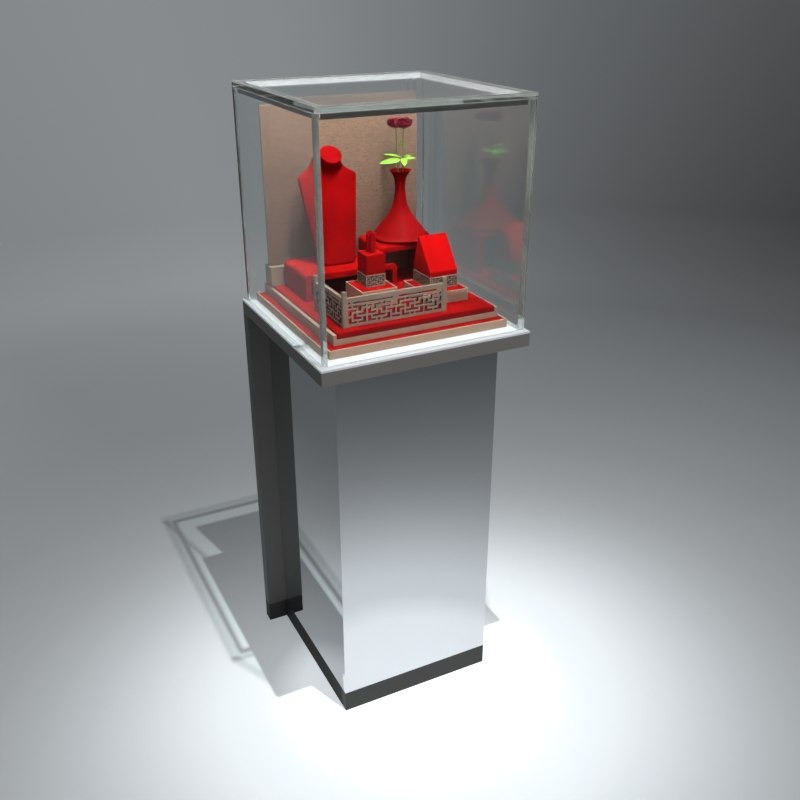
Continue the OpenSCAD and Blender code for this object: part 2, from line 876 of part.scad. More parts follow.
module tile_left() {
    color(beige) translate([tile_left_x, tile_left_y, top_z])
        rimmed_block(tile_left_w, tile_left_d, tile_left_h, tile_rim, tile_pad_t);
}

module tile_right() {
    color(beige) translate([tile_right_x, tile_right_y, top_z])
        rimmed_block(tile_right_w, tile_right_d, tile_right_h, tile_rim, tile_pad_t);
}

// A pad that fills a tile's recess.
module tile_pad(x, y, w, d, top) {
    inset = tile_rim + fit_gap;
    color(red) translate([x + inset, y + inset, top - tile_pad_t])
        cube([w - 2 * inset, d - 2 * inset, tile_pad_t]);
}

module tile_left_pad() {
    tile_pad(tile_left_x, tile_left_y, tile_left_w, tile_left_d, tile_left_top);
}

module tile_right_pad() {
    tile_pad(tile_right_x, tile_right_y, tile_right_w, tile_right_d, tile_right_top);
}

module fence_front() {
    color(beige) translate([post_x + post_w / 2, post_y + panel_t / 2, top_z])
        rotate([90, 0, 0]) linear_extrude(panel_t) fence_face(front_panel_len, 2);
}

module fence_side() {
    color(beige) translate([post_x - panel_t / 2, post_y + post_w / 2, top_z])
        rotate([90, 0, 90]) linear_extrude(panel_t) fence_face(side_panel_len, 1);
}

module fence_posts() {
    color(beige) for (p = [[post_x, post_y], [post_right_x, post_y], [post_x, post_rear_y]])
        translate([p[0] - post_w / 2, p[1] - post_w / 2, top_z]) cube([post_w, post_w, post_h]);
}

module glass_front() {
    color(glass_tint) box_between([-hood_half, -hood_half, sheet_top],
        [hood_half, -hood_inner, wall_top]);
}

module glass_back() {
    color(glass_tint) box_between([-hood_half, hood_inner, sheet_top],
        [hood_half, hood_half, wall_top]);
}

module glass_left() {
    color(glass_tint) box_between([-hood_half, -hood_inner + bond_gap, sheet_top],
        [-hood_inner, hood_inner - bond_gap, wall_top]);
}

module glass_right() {
    color(glass_tint) box_between([hood_inner, -hood_inner + bond_gap, sheet_top],
        [hood_half, hood_inner - bond_gap, wall_top]);
}

module glass_top() {
    color(glass_tint) box_between([-hood_half, -hood_half, glass_under],
        [hood_half, hood_half, hood_top]);
}

// One side of the light ring: a channel along X that opens towards the middle.
module light_channel(len) {
    difference() {
        translate([-len / 2, -light_half, light_z]) cube([len, channel_w, light_h]);
        translate([-len / 2 - over, -light_half + light_wall, light_z + light_wall])
            cube([len + 2 * over, light_w, light_h - 2 * light_wall]);
    }
}

module led_profiles() {
    side_len = 2 * (light_half - channel_w);
    color([0.24, 0.24, 0.23]) {
        for (turn = [0, 180]) rotate(turn) light_channel(2 * light_half);
        for (turn = [90, 270]) rotate(turn) light_channel(side_len);
    }
}

// The opal covers close the channels and meet in butt joints at the corners.
module led_diffusers() {
    long = 2 * (light_half - channel_w - fit_gap);
    short = 2 * (light_half - light_w - fit_gap);
    color("white") for (side = [[0, long], [90, short], [180, long], [270, short]])
        rotate(side[0]) translate([-side[1] / 2, -light_half + channel_w + fit_gap, light_z])
            cube([side[1], cover_t - fit_gap, light_h]);
}

module hood_conductors() {
    color("silver") for (x = strip_xs)
        translate([x - strip_w / 2, strip_y, sheet_top]) {
            cube([strip_w, strip_t, wall_top - sheet_top]);
            translate([0, light_half - strip_y, light_z - sheet_top])
                cube([strip_w, strip_y - light_half + strip_t, light_h]);
        }
}

// A level slice of the bust, w wide and t deep, its front face at y.
module bust_slice(w, t, y, z) {
    translate([bust_x, y, z]) linear_extrude(bust_plate) {
        translate([-w / 2, bust_round]) square([w, t - bust_round]);
        for (side = [-1, 1])
            translate([side * (w / 2 - bust_round), bust_round]) circle(bust_round, $fn = 32);
        translate([-w / 2 + bust_round, 0]) square([w - 2 * bust_round, bust_round]);
    }
}

// The bust: a plate that leans back and widens to round shoulders, and a neck that tilts forward.
module bust() {
    mid_w = (bust_foot_w + bust_shoulder_w) / 2;
    shoulder_z = bust_z + bust_shoulder_h;
    crown_z = shoulder_z + 16;
    neck_dir = [0, -sin(neck_tilt), cos(neck_tilt)];
    neck_top = [bust_x, neck_top_y, neck_top_z];
    neck_foot = neck_top - neck_dir * neck_len;
    color(red) {
        hull() {
            bust_slice(bust_foot_w, bust_t, bust_y, bust_z);
            bust_slice(mid_w, bust_t + 4, bust_y + bust_lean / 2 - 2, bust_z + bust_shoulder_h / 2);
        }
        hull() {
            bust_slice(mid_w, bust_t + 4, bust_y + bust_lean / 2 - 2, bust_z + bust_shoulder_h / 2);
            bust_slice(bust_shoulder_w, bust_t + 2, bust_y + bust_lean, shoulder_z - 6);
            bust_slice(bust_shoulder_w - 6, bust_t, bust_y + bust_lean + 2, shoulder_z);
        }
        hull() {
            bust_slice(bust_shoulder_w - 6, bust_t, bust_y + bust_lean + 2, shoulder_z);
            bust_slice(bust_shoulder_w / 2, bust_t - 4, bust_y + bust_lean + 6, crown_z);
        }
        rod(neck_r, neck_foot, neck_top);
    }
}

// The vase: a low skirt that flares over its foot ring, drawn in to a slim neck and an
// open lip.
module vase() {
    foot_r = vase_r - vase_overhang;
    side = [[vase_r, vase_h * 0.045], [vase_r * 0.886, vase_h * 0.088],
        [vase_r * 0.79, vase_h * 0.15], [vase_r * 0.55, vase_h * 0.275],
        [vase_r * 0.343, vase_h * 0.4], [vase_r * 0.236, vase_h * 0.525],
        [vase_neck_r + vase_wall, vase_h * 0.74], [14.5, vase_h * 0.89],
        [vase_lip_r, vase_h]];
    outer = concat([[0, 0], [foot_r, 0], [foot_r, vase_wall], [vase_r, vase_wall + 1]], side);
    inner = [for (i = [len(side) - 1:-1:1]) side[i] - [vase_wall, 0]];
    color(red) translate([vase_x, vase_y, vase_z]) rotate_extrude()
        polygon(concat(outer, inner, [[foot_r, vase_floor + 2], [foot_r - 4, vase_floor],
            [0, vase_floor]]));
}

module rose_blooms() {
    color([0.45, 0.04, 0.12]) for (p = [bloom_a, bloom_b])
        translate(p) {
            sphere(r = bloom_r * 0.75);
            translate([0, 0, bloom_r * 0.1])
                cylinder(r1 = bloom_r * 0.6, r2 = bloom_r, h = bloom_r * 0.4);
            translate([0, 0, -bloom_r * 0.65])
                cylinder(r1 = bloom_r * 0.25, r2 = bloom_r * 0.7, h = bloom_r * 0.4);
        }
}

// The stems stand on the vase's floor, bend in its neck and end under the blooms.
module rose_stems() {
    bend_a = [vase_x + 4.5, vase_y - 2.5, stem_bend];
    bend_b = [vase_x + 4.5, vase_y + 2.5, stem_bend];
    mouth_a = [vase_x + 5, vase_y - 4, vase_top];
    mouth_b = [vase_x - 3, vase_y + 4, vase_top];
    to_calyx = [0, 0, bloom_r * 0.75 + fit_gap];
    color([0.3, 0.45, 0.15]) {
        stem([bend_a[0], bend_a[1], stem_low], bend_a, mouth_a, bloom_a - to_calyx);
        stem([bend_b[0], bend_b[1], stem_low], bend_b, mouth_b, bloom_b - to_calyx);
    }
}

// One stem through four points, with round joints.
module stem(foot, bend, mouth, head) {
    rod(stem_r, foot, bend);
    translate(bend) sphere(stem_r);
    rod(stem_r, bend, mouth);
    translate(mouth) sphere(stem_r);
    rod(stem_r, mouth, head);
}

module ring_fret_base() {
    color(beige) translate([ring_x, ring_y, tile_left_top])
        fret_box(ring_block_w + 2 * ring_base_edge, ring_block_d + 2 * ring_base_edge, 1);
}

module ring_block() {
    color(red) translate([ring_x + ring_base_edge, ring_y + ring_base_edge, ring_base_top])
        cube([ring_block_w, ring_block_d, ring_block_h]);
}

// The ring clip: a curled strip that stands on the block, open on one side.
module ring_clip() {
    color(red) translate([ring_x + ring_base_edge + ring_block_w / 2,
            ring_y + ring_base_edge + ring_block_d / 2, ring_base_top + ring_block_h])
        difference() {
            cylinder(r = clip_r, h = clip_h);
            translate([0, 0, -over]) cylinder(r = clip_r - clip_wall, h = clip_h + 2 * over);
            rotate(-150) translate([0, -clip_slot / 2, -over])
                cube([clip_r + over, clip_slot, clip_h + 2 * over]);
        }
}

module slant_fret_base() {
    color(beige) translate([slant_x - slant_base_edge, slant_y - slant_base_edge, tile_right_top])
        fret_box(slant_w + 2 * slant_base_edge, slant_d + 2 * slant_base_edge, 2);
}

// The slanted stand: a wedge with a short front lip, a flat ridge and a steep back.
module slant_block() {
    ridge_y = slant_d - slant_ridge;
    color(red) difference() {
        translate([slant_x, slant_y, tile_right_top + fret_base_h]) rotate([90, 0, 90])
            linear_extrude(slant_w) polygon([[0, 0], [slant_d, 0], [slant_d, slant_lip_h],
                [ridge_y + 4, slant_h], [ridge_y, slant_h], [0, slant_lip_h]]);
        for (side = [1, 3])
            translate([slant_x + slant_w * side / 4 - notch_w / 2, slant_y,
                    tile_right_top + fret_base_h + slant_h - notch_depth])
                cube([notch_w, slant_d, notch_depth + over]);
    }
}

counter_top();
opal_sheet();
led_boards();
contact_pins();
back_panel();
plinth_front();
plinth_sides();
plinth_rear();
base_deck();
foot_plates();
column_front_board();
column_side_boards();
column_skin();
led_driver();
power_inlet();
hinge_frame_leaves();
hinge_pins();
tier1_tray();
tier1_pad();
tier2_tray();
tier2_pad();
backdrop_base();
backdrop_board();
riser_left();
riser_back();
bracelet_hoop();
tile_left();
tile_left_pad();
tile_right();
tile_right_pad();
fence_front();
fence_side();
fence_posts();
glass_front();
glass_back();
glass_left();
glass_right();
glass_top();
led_profiles();
led_diffusers();
hood_conductors();
service_door();
hinge_door_leaves();
lock_body();
lock_plug();
switch_rocker();
foot_front_left();
foot_front_right();
foot_rear_left();
foot_rear_right();
bust();
vase();
rose_blooms();
rose_stems();
ring_fret_base();
ring_block();
ring_clip();
slant_fret_base();
slant_block();
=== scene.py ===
import math

import bmesh
import bpy
from mathutils import Matrix, Vector


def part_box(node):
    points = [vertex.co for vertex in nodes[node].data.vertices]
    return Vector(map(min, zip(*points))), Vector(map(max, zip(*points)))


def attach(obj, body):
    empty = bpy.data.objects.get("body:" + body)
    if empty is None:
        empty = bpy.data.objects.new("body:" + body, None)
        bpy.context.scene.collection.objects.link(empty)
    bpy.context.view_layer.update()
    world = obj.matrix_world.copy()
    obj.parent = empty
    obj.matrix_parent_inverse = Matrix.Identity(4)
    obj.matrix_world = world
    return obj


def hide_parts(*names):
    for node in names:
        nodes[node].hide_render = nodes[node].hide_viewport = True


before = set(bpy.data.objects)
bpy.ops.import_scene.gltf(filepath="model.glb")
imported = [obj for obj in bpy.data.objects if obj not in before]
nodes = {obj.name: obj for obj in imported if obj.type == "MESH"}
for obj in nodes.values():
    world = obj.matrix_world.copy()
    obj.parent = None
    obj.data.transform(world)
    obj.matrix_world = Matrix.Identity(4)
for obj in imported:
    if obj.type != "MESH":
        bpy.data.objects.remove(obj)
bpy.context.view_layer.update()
for part in bpy.context.selected_objects:
    part.select_set(False)

# The view: a customer's eye a little above the hood's top, to the left of the counter's front,
# with the whole counter in the frame and the floor behind it up to the upper edge.

EYE_PLACE = (-0.8672, -1.8128, 1.6828)
EYE_TILT = math.radians(64.72)
EYE_TURN = math.radians(-26.92)
EYE_LENS = 41.15

camera_data = bpy.data.cameras.new("customer_eye")
camera_data.lens = EYE_LENS
camera_data.sensor_width = 36
camera_data.clip_end = 300
camera = bpy.data.objects.new("customer_eye", camera_data)
camera.location = EYE_PLACE
camera.rotation_euler = (EYE_TILT, 0, EYE_TURN)
bpy.context.scene.collection.objects.link(camera)
bpy.context.scene.camera = camera
bpy.context.scene.view_settings.view_transform = "Standard"

# The light: one small studio lamp high above the counter's front, which throws a crisp shadow
# round its foot, a broad weak fill from the front, and an even glow of the room from all round,
# which shows more in mirrors and glass.

LAMP_PLACE = (0.005, -0.760, 3.671)
LAMP_POWER = 340
LAMP_RADIUS = 0.012
FILL_FROM = Vector((0.15, -1.0, 0.35))
FILL_STRENGTH = 0.30
FILL_SPREAD = math.radians(60)
ROOM_TINT = (0.94, 0.98, 1.0, 1)
ROOM_GLOW = 0.06
ROOM_GLOW_MIRRORED = 0.22


def place(tree, kind, inputs=None, **settings):
    """Adds a node to a material or group, sets it up and wires or fills its inputs."""
    made = tree.nodes.new("ShaderNode" + kind)
    for name, value in settings.items():
        setattr(made, name, value)
    for name, value in (inputs or {}).items():
        if isinstance(value, bpy.types.NodeSocket):
            tree.links.new(value, made.inputs[name])
        else:
            made.inputs[name].default_value = value
    return made


def between(tree, value, start, end, first=0.0, last=1.0, **settings):
    """Carries a value over from the range start to end to the range first to last."""
    return place(tree, "MapRange", {"Value": value, "From Min": start, "From Max": end, "To Min": first,
                                    "To Max": last}, **settings).outputs[0]


studio_lamp = bpy.data.lights.new("studio_lamp", "POINT")
studio_lamp.energy = LAMP_POWER
studio_lamp.shadow_soft_size = LAMP_RADIUS
lamp = bpy.data.objects.new("studio_lamp", studio_lamp)
lamp.location = LAMP_PLACE
bpy.context.scene.collection.objects.link(lamp)
front_fill = bpy.data.lights.new("front_fill", "SUN")
front_fill.energy = FILL_STRENGTH
front_fill.angle = FILL_SPREAD
fill = bpy.data.objects.new("front_fill", front_fill)
fill.rotation_euler = FILL_FROM.to_track_quat("Z", "Y").to_euler()
bpy.context.scene.collection.objects.link(fill)
room = bpy.data.worlds.new("room")
room.use_nodes = True
all_round = room.node_tree.nodes["Background"]
all_round.inputs["Color"].default_value = ROOM_TINT
mirrored = place(room.node_tree, "LightPath").outputs["Is Glossy Ray"]
room_glow = between(room.node_tree, mirrored, 0.0, 1.0, ROOM_GLOW, ROOM_GLOW_MIRRORED)
room.node_tree.links.new(room_glow, all_round.inputs["Strength"])
bpy.context.scene.world = room

# The floor: a pale matt studio floor with a bright pool of light round the counter, which
# fades to a middle grey. Most of it is glow towards the eye and in mirrors, so that the shadow
# on it is light.

FLOOR_SPAN = 160
FLOOR_TINT = (0.945, 1.0, 1.04)
FLOOR_MATT_MOST = 0.9
FLOOR_AMBIENT = 0.09
LAMP_ON_FLOOR = 0.639
LAMP_FALL = 3.0
POOL_CENTRE = (0.013, -0.172)
POOL_REACH = 6.0
POOL_BEHIND = 1.187
# metres from the pool's centre and the floor's brightness there
POOL_STEPS = [(0, 1.3), (0.3, 1.25), (0.4, 0.964), (0.5, 0.908), (0.6, 0.784), (0.72, 0.636), (0.84, 0.511),
              (0.96, 0.419), (1.1, 0.345), (1.25, 0.3), (1.5, 0.247), (2.0, 0.184), (2.7, 0.117),
              (3.4, 0.06), (4.5, 0.027), (6, 0)]
# degrees round the counter and the brightness added far away
FAR_STEPS = [(0, 0), (30, 0.051), (40, 0.079), (46, 0.103), (53, 0.134), (60, 0.18), (70, 0.246),
             (80, 0.259), (90, 0.241), (105, 0.215), (130, 0.286), (180, 0.2), (270, 0), (360, 0.024)]
FAR_START = 0.8
FAR_FULL = 3.6
# in front of the counter the floor dims, and in mirrors also towards its left
FRONT_START = -0.6
FRONT_FULL = -2.2
FRONT_SHARE = 0.65
LEFT_START = -0.2
LEFT_FULL = -0.7
LEFT_SHARE = 0.3


def linear(*colour):
    """A colour written as 0 to 255 values, as a picture program shows it, in Blender's own terms."""
    parts = [c / 255 for c in colour]
    return tuple(c / 12.92 if c <= 0.04045 else ((c + 0.055) / 1.055) ** 2.4 for c in parts) + (1,)


def reckon(tree, operation, first, second=0.0, clamp=False):
    """One step of arithmetic on values that change over the surface."""
    return place(tree, "Math", {0: first, 1: second}, operation=operation, use_clamp=clamp).outputs[0]


def plus(tree, first, second, clamp=False):
    """The sum of two values."""
    return reckon(tree, "ADD", first, second, clamp)


def minus(tree, first, second):
    """The difference of two values."""
    return reckon(tree, "SUBTRACT", first, second)


def times(tree, first, second, clamp=False):
    """The product of two values."""
    return reckon(tree, "MULTIPLY", first, second, clamp)


def tinted(tree, colour, level):
    """A colour made lighter or darker by a level."""
    return place(tree, "VectorMath", {0: colour, 1: level}, operation="MULTIPLY").outputs[0]


def graded(tree, value, steps):
    """Turns a value from 0 to 1 into a grey by steps of (value, grey)."""
    ramp = place(tree, "ValToRGB", {"Fac": value})
    stops = ramp.color_ramp.elements
    while len(stops) < len(steps):
        stops.new(0.5)
    for stop, (at, grey) in zip(stops, steps):
        stop.position = at
        stop.color = (grey, grey, grey, 1)
    return ramp.outputs["Color"]


bpy.ops.mesh.primitive_plane_add(size=FLOOR_SPAN)
floor = bpy.context.object
floor.name = "studio_floor"
floor_paint = bpy.data.materials.new("studio_floor")
floor_paint.use_nodes = True
tree = floor_paint.node_tree
tree.nodes.remove(tree.nodes["Principled BSDF"])
spot = place(tree, "TexCoord").outputs["Object"]
ways = place(tree, "SeparateXYZ", {0: spot}).outputs

# The pool: brightness by the distance from its centre, shorter behind it.
aside = minus(tree, ways["X"], POOL_CENTRE[0])
beyond = minus(tree, ways["Y"], POOL_CENTRE[1])
beyond = reckon(tree, "MAXIMUM", beyond, times(tree, beyond, POOL_BEHIND))
off_centre = place(tree, "CombineXYZ", {"X": aside, "Y": beyond}).outputs[0]
distance = place(tree, "VectorMath", {0: off_centre}, operation="LENGTH").outputs["Value"]
reach = reckon(tree, "DIVIDE", distance, POOL_REACH, clamp=True)
pool_top = POOL_STEPS[0][1]
pool = graded(tree, reach, [(metres / POOL_REACH, grey / pool_top) for metres, grey in POOL_STEPS])
pool = times(tree, pool, pool_top)

# Far away: brightness by the direction from the counter.
turn = reckon(tree, "ARCTAN2", ways["Y"], ways["X"])
turn = reckon(tree, "FRACT", plus(tree, reckon(tree, "DIVIDE", turn, math.tau), 1.0))
far = graded(tree, turn, [(degrees / 360, grey) for degrees, grey in FAR_STEPS])
away = place(tree, "VectorMath", {0: spot}, operation="LENGTH").outputs["Value"]
far_share = between(tree, away, FAR_START, FAR_FULL, interpolation_type="SMOOTHSTEP")
shade = plus(tree, pool, times(tree, far, far_share))
in_front = between(tree, ways["Y"], FRONT_START, FRONT_FULL, 1.0, FRONT_SHARE,
                   interpolation_type="SMOOTHSTEP")
shade = times(tree, shade, in_front)

# What the lamp lights is taken off, and the rest of the brightness is glow.
matt = reckon(tree, "MINIMUM", shade, FLOOR_MATT_MOST)
to_lamp = place(tree, "VectorMath", {0: spot, 1: lamp.location}, operation="DISTANCE").outputs["Value"]
lamp_share = reckon(tree, "POWER", reckon(tree, "DIVIDE", lamp.location.z, to_lamp), LAMP_FALL)
lamp_light = plus(tree, times(tree, lamp_share, LAMP_ON_FLOOR), FLOOR_AMBIENT)
glow = minus(tree, shade, times(tree, matt, lamp_light))
glow = reckon(tree, "MAXIMUM", glow, 0.0)

# The glow is seen by the eye, through glass and in mirrors, and lights nothing.
ray = place(tree, "LightPath").outputs
in_mirrors = between(tree, ways["X"], LEFT_START, LEFT_FULL, 1.0, LEFT_SHARE)
in_mirrors = times(tree, ray["Is Glossy Ray"], in_mirrors)
seen = plus(tree, ray["Is Camera Ray"], in_mirrors)
seen = plus(tree, seen, ray["Is Transmission Ray"], clamp=True)
paint = place(tree, "BsdfDiffuse", {"Color": tinted(tree, FLOOR_TINT, matt)})
shine = place(tree, "Emission", {"Color": (*FLOOR_TINT, 1), "Strength": times(tree, glow, seen)})
surface = place(tree, "AddShader", {0: paint.outputs[0], 1: shine.outputs[0]})
tree.links.new(surface.outputs[0], tree.nodes["Material Output"].inputs["Surface"])
floor.data.materials.append(floor_paint)

# Slab, back panel and plinth: boards of the inverted-L frame, sprayed in dark bronze lacquer
# with a fine grain. Their edges are eased and worn a little lighter, and the plinth is darker.
# The back panel and the plinth's sides get darker copies of the lacquer: painted shade.

BRONZE = linear(142, 139, 135)
# a darker copy of the bronze for the back panel and its door: painted shade
BRONZE_REAR_PAINTED_SHADE = linear(118, 116, 112)
BRONZE_WORN = linear(164, 160, 154)
BRONZE_PLINTH = linear(80, 79, 77)
# a darker copy of the plinth's bronze for its sides: painted shade
BRONZE_SIDES_PAINTED_SHADE = linear(66, 65, 64)
LACQUER_EDGE = 0.0008
CLOUD_CELLS = 9.0
WEAR_REACH = 0.0012
WEAR_PATCHES = 55.0
SAME_POINT = 0.00002


def effect(name, inputs, outputs):
    """A new node group with its named inputs and outputs, each (name, kind, start value)."""
    made = bpy.data.node_groups.new(name, "ShaderNodeTree")
    for label, kind, value in inputs:
        socket = made.interface.new_socket(name=label, in_out="INPUT", socket_type="NodeSocket" + kind)
        socket.default_value = value
    for label, kind in outputs:
        made.interface.new_socket(name=label, in_out="OUTPUT", socket_type="NodeSocket" + kind)
    return made, made.nodes.new("NodeGroupInput").outputs, made.nodes.new("NodeGroupOutput").inputs


def noise(tree, cells, detail=2.0, roughness=0.5, where=None, stretch=None):
    """Noise from 0 to 1 in cells per metre, from Object coordinates."""
    where = where or place(tree, "TexCoord").outputs["Object"]
    if stretch:
        where = place(tree, "Mapping", {"Vector": where, "Scale": stretch}).outputs[0]
    inputs = {"Vector": where, "Scale": cells, "Detail": detail, "Roughness": roughness}
    return place(tree, "TexNoise", inputs).outputs["Fac"]


def blend(tree, share, first, second):
    """A colour that goes from the first to the second as the share goes from 0 to 1."""
    return place(tree, "Mix", {"Factor": share, 6: first, 7: second}, data_type="RGBA").outputs[2]


# Grain: a fine even fleck and slow cloudy changes of colour, for lacquers, metals and boards.
grain, into, out = effect("surface_grain", [
    ("Color", "Color", (0.5, 0.5, 0.5, 1)), ("Cells per metre", "Float", 900.0), ("Fleck", "Float", 0.1),
    ("Clouds", "Float", 0.08), ("Roughness", "Float", 0.5), ("Roughness change", "Float", 0.1)],
    [("Color", "Color"), ("Roughness", "Float"), ("Height", "Float")])
fine = noise(grain, into["Cells per metre"], 3.0, 0.6)
cloud = noise(grain, CLOUD_CELLS, 3.0, 0.55)
fleck = times(grain, minus(grain, fine, 0.5), into["Fleck"])
drift = times(grain, minus(grain, cloud, 0.5), into["Clouds"])
level = plus(grain, plus(grain, fleck, drift), 1.0)
grain.links.new(tinted(grain, into["Color"], level), out["Color"])
rough_step = times(grain, minus(grain, cloud, 0.5), into["Roughness change"])
grain.links.new(plus(grain, into["Roughness"], rough_step, clamp=True), out["Roughness"])
grain.links.new(fine, out["Height"])

# Edge wear: finds corners by comparing the true normal with a rounded one, and breaks the
# line up, so that edges look rubbed by hands and cloths.
edge_wear, into, out = effect("edge_wear", [
    ("Color", "Color", (0.5, 0.5, 0.5, 1)), ("Worn color", "Color", (0.7, 0.7, 0.7, 1)),
    ("Amount", "Float", 0.5)], [("Color", "Color"), ("Mask", "Float")])
rounded = place(edge_wear, "Bevel", {"Radius": WEAR_REACH}, samples=3).outputs[0]
straight = place(edge_wear, "NewGeometry").outputs["Normal"]
agree = place(edge_wear, "VectorMath", {0: rounded, 1: straight}, operation="DOT_PRODUCT").outputs["Value"]
corner = between(edge_wear, agree, 0.99, 0.82)
patchy = between(edge_wear, noise(edge_wear, WEAR_PATCHES, 4.0, 0.7), 0.38, 0.66)
rubbed = times(edge_wear, corner, patchy)
mask = times(edge_wear, rubbed, into["Amount"], clamp=True)
edge_wear.links.new(blend(edge_wear, mask, into["Color"], into["Worn color"]), out["Color"])
edge_wear.links.new(mask, out["Mask"])


def use(tree, group, **inputs):
    """Places an effect in a material with its own values."""
    made = place(tree, "Group", node_tree=group)
    for name, value in inputs.items():
        name = name.replace("_", " ").capitalize()
        if isinstance(value, bpy.types.NodeSocket):
            tree.links.new(value, made.inputs[name])
        else:
            made.inputs[name].default_value = value
    return made.outputs


def finish(name, values):
    """A new material, with its node tree and its Principled shader, whose inputs take the values."""
    made = bpy.data.materials.new(name)
    made.use_nodes = True
    shader = made.node_tree.nodes["Principled BSDF"]
    for label, value in values.items():
        shader.inputs[label].default_value = value
    return made, made.node_tree, shader


def wire(tree, shader, colour=None, roughness=None, height=None, bump=0.1, bump_depth=0.0005):
    """Joins colour, roughness and relief to a Principled shader."""
    if colour is not None:
        tree.links.new(colour, shader.inputs["Base Color"])
    if roughness is not None:
        tree.links.new(roughness, shader.inputs["Roughness"])
    if height is not None:
        relief = place(tree, "Bump", {"Height": height, "Strength": bump, "Distance": bump_depth})
        tree.links.new(relief.outputs[0], shader.inputs["Normal"])


def coat(tree, shader, colour, worn, roughness, fleck=0.1, amount=0.5, cells=900.0):
    """Lays grain on a shader, and wear along the edges over it."""
    base = use(tree, grain, color=colour, cells_per_metre=cells, fleck=fleck, clouds=0.08,
               roughness=roughness, roughness_change=0.12)
    top = use(tree, edge_wear, color=base["Color"], worn_color=worn, amount=amount)
    wire(tree, shader, top["Color"], base["Roughness"], base["Height"], 0.06)


def lacquered(name, colour, worn, roughness, metallic=0.0, specular=0.5, **grains):
    """A sprayed, plated or moulded finish in one colour."""
    made, tree, shader = finish(name, {"Metallic": metallic, "Specular IOR Level": specular})
    coat(tree, shader, colour, worn, roughness, **grains)
    return made


def bevelled(piece, width, segments, angle=30):
    """Sets a bevel on the edges that turn by more than an angle."""
    bevel = piece.modifiers.new("eased_edges", "BEVEL")
    bevel.width = width
    bevel.segments = segments
    bevel.limit_method = "ANGLE"
    bevel.angle_limit = math.radians(angle)
    return bevel


def ease_edges(part, width, segments):
    """Rounds a CAD part's edges with live modifiers; its own mesh stays as it is."""
    weld = part.modifiers.new("one_surface", "WELD")
    weld.merge_threshold = SAME_POINT
    bevelled(part, width, segments).harden_normals = True


def dress(material, *names, edge=0.0, segments=2):
    """Gives CAD nodes their material, and eased edges where edge is above 0."""
    for name in names:
        part = nodes[name]
        part.data.materials.clear()
        part.data.materials.append(material)
        if edge:
            ease_edges(part, edge, segments)


bronze_lacquer = lacquered("bronze_lacquer", BRONZE, BRONZE_WORN, 0.42)
# the back panel's lacquer is a darker copy of the bronze: painted shade
rear_lacquer_painted_shade = lacquered("rear_lacquer_painted_shade", BRONZE_REAR_PAINTED_SHADE, BRONZE_WORN, 0.45)
plinth_lacquer = lacquered("plinth_lacquer", BRONZE_PLINTH, BRONZE, 0.55, specular=0.2)
# the plinth's sides take a darker copy of its lacquer: painted shade
side_lacquer_painted_shade = lacquered("plinth_side_lacquer", BRONZE_SIDES_PAINTED_SHADE, BRONZE, 0.6, specular=0.1)
dress(bronze_lacquer, "counter_top", edge=LACQUER_EDGE)
dress(rear_lacquer_painted_shade, "back_panel", edge=LACQUER_EDGE)
dress(plinth_lacquer, "plinth_front", "plinth_rear", edge=LACQUER_EDGE)
dress(side_lacquer_painted_shade, "plinth_sides", edge=LACQUER_EDGE)

# Boards inside the column and the compartment's floor: raw pressed-fibre board. The floor
# carries the foot plates.

FIBREBOARD = linear(168, 138, 104)

pressed_board, tree, shader = finish("pressed_board", {"Specular IOR Level": 0.3})
base = use(tree, grain, color=FIBREBOARD, cells_per_metre=700.0, fleck=0.5, clouds=0.12, roughness=0.8,
           roughness_change=0.1)
wire(tree, shader, base["Color"], base["Roughness"], base["Height"], 0.3)
dress(pressed_board, "column_front_board", "column_side_boards", "base_deck")

# Levelling feet and their plates: zinc-plated steel, turned and pressed, screwed up into the
# compartment's floor. The hinges have the same finish.

ZINC = linear(186, 189, 194)
ZINC_WORN = linear(214, 214, 212)

zinc_steel = lacquered("zinc_steel", ZINC, ZINC_WORN, 0.36, fleck=0.14, amount=0.4, metallic=1.0,
                       cells=1600.0)
feet = [f"foot_{end}_{side}" for end in ("front", "rear") for side in ("left", "right")]
dress(zinc_steel, *feet, "foot_plates", edge=0.0006)

# Mirror cladding: one folded sheet of polished stainless steel, glued round three sides of the
# column, with faint wiping marks that only show in its gloss.

MIRROR = (0.6, 0.612, 0.622, 1)
POLISHED = 0.015
WIPED = 0.05
WIPE_CELLS = 14.0

mirror_steel, tree, shader = finish("mirror_steel", {"Metallic": 1.0})
wiped = noise(tree, WIPE_CELLS, 5.0, 0.6, stretch=(1, 1, 0.35))
haze = between(tree, wiped, 0.45, 0.75, POLISHED, WIPED)
tint = use(tree, grain, color=MIRROR, cells_per_metre=300.0, fleck=0.0, clouds=0.03, roughness=0.02,
           roughness_change=0.0)
wire(tree, shader, tint["Color"], haze)
dress(mirror_steel, "column_skin", edge=0.0009, segments=3)

# Power parts of the counter top: the driver's pale moulded case under the slab, and the strip
# boards with their light chips under the opal sheet. Two gilt pins feed the hood.

CASE_IVORY = linear(205, 204, 198)
CASE_WORN = linear(225, 224, 220)
BOARD_IVORY = linear(228, 224, 206)
BOARD_WORN = linear(240, 236, 220)
GILT = linear(226, 186, 104)
GILT_WORN = linear(240, 214, 150)

driver_case = lacquered("driver_case", CASE_IVORY, CASE_WORN, 0.5, fleck=0.06)
board_ivory = lacquered("circuit_board", BOARD_IVORY, BOARD_WORN, 0.5, fleck=0.05)
gilt_brass = lacquered("gilt_brass", GILT, GILT_WORN, 0.28, fleck=0.05, metallic=1.0)
dress(driver_case, "led_driver", edge=0.001)
dress(board_ivory, "led_boards")
dress(gilt_brass, "contact_pins", edge=0.0003)

# Opal sheet: 5 mm opal acrylic on the slab, lit from below inside the hood's walls. Its rim
# outside glows a little from the light inside it.

OPAL_WHITE = linear(196, 199, 202)
OPAL_TINT = (0.95, 0.99, 1.0)
OPAL_LIT_HALF = 0.2275
OPAL_GLOW = 0.14
OPAL_RIM_GLOW = 0.22
OPAL_PATCHES = 30.0
OPAL_UNEVEN = 0.04

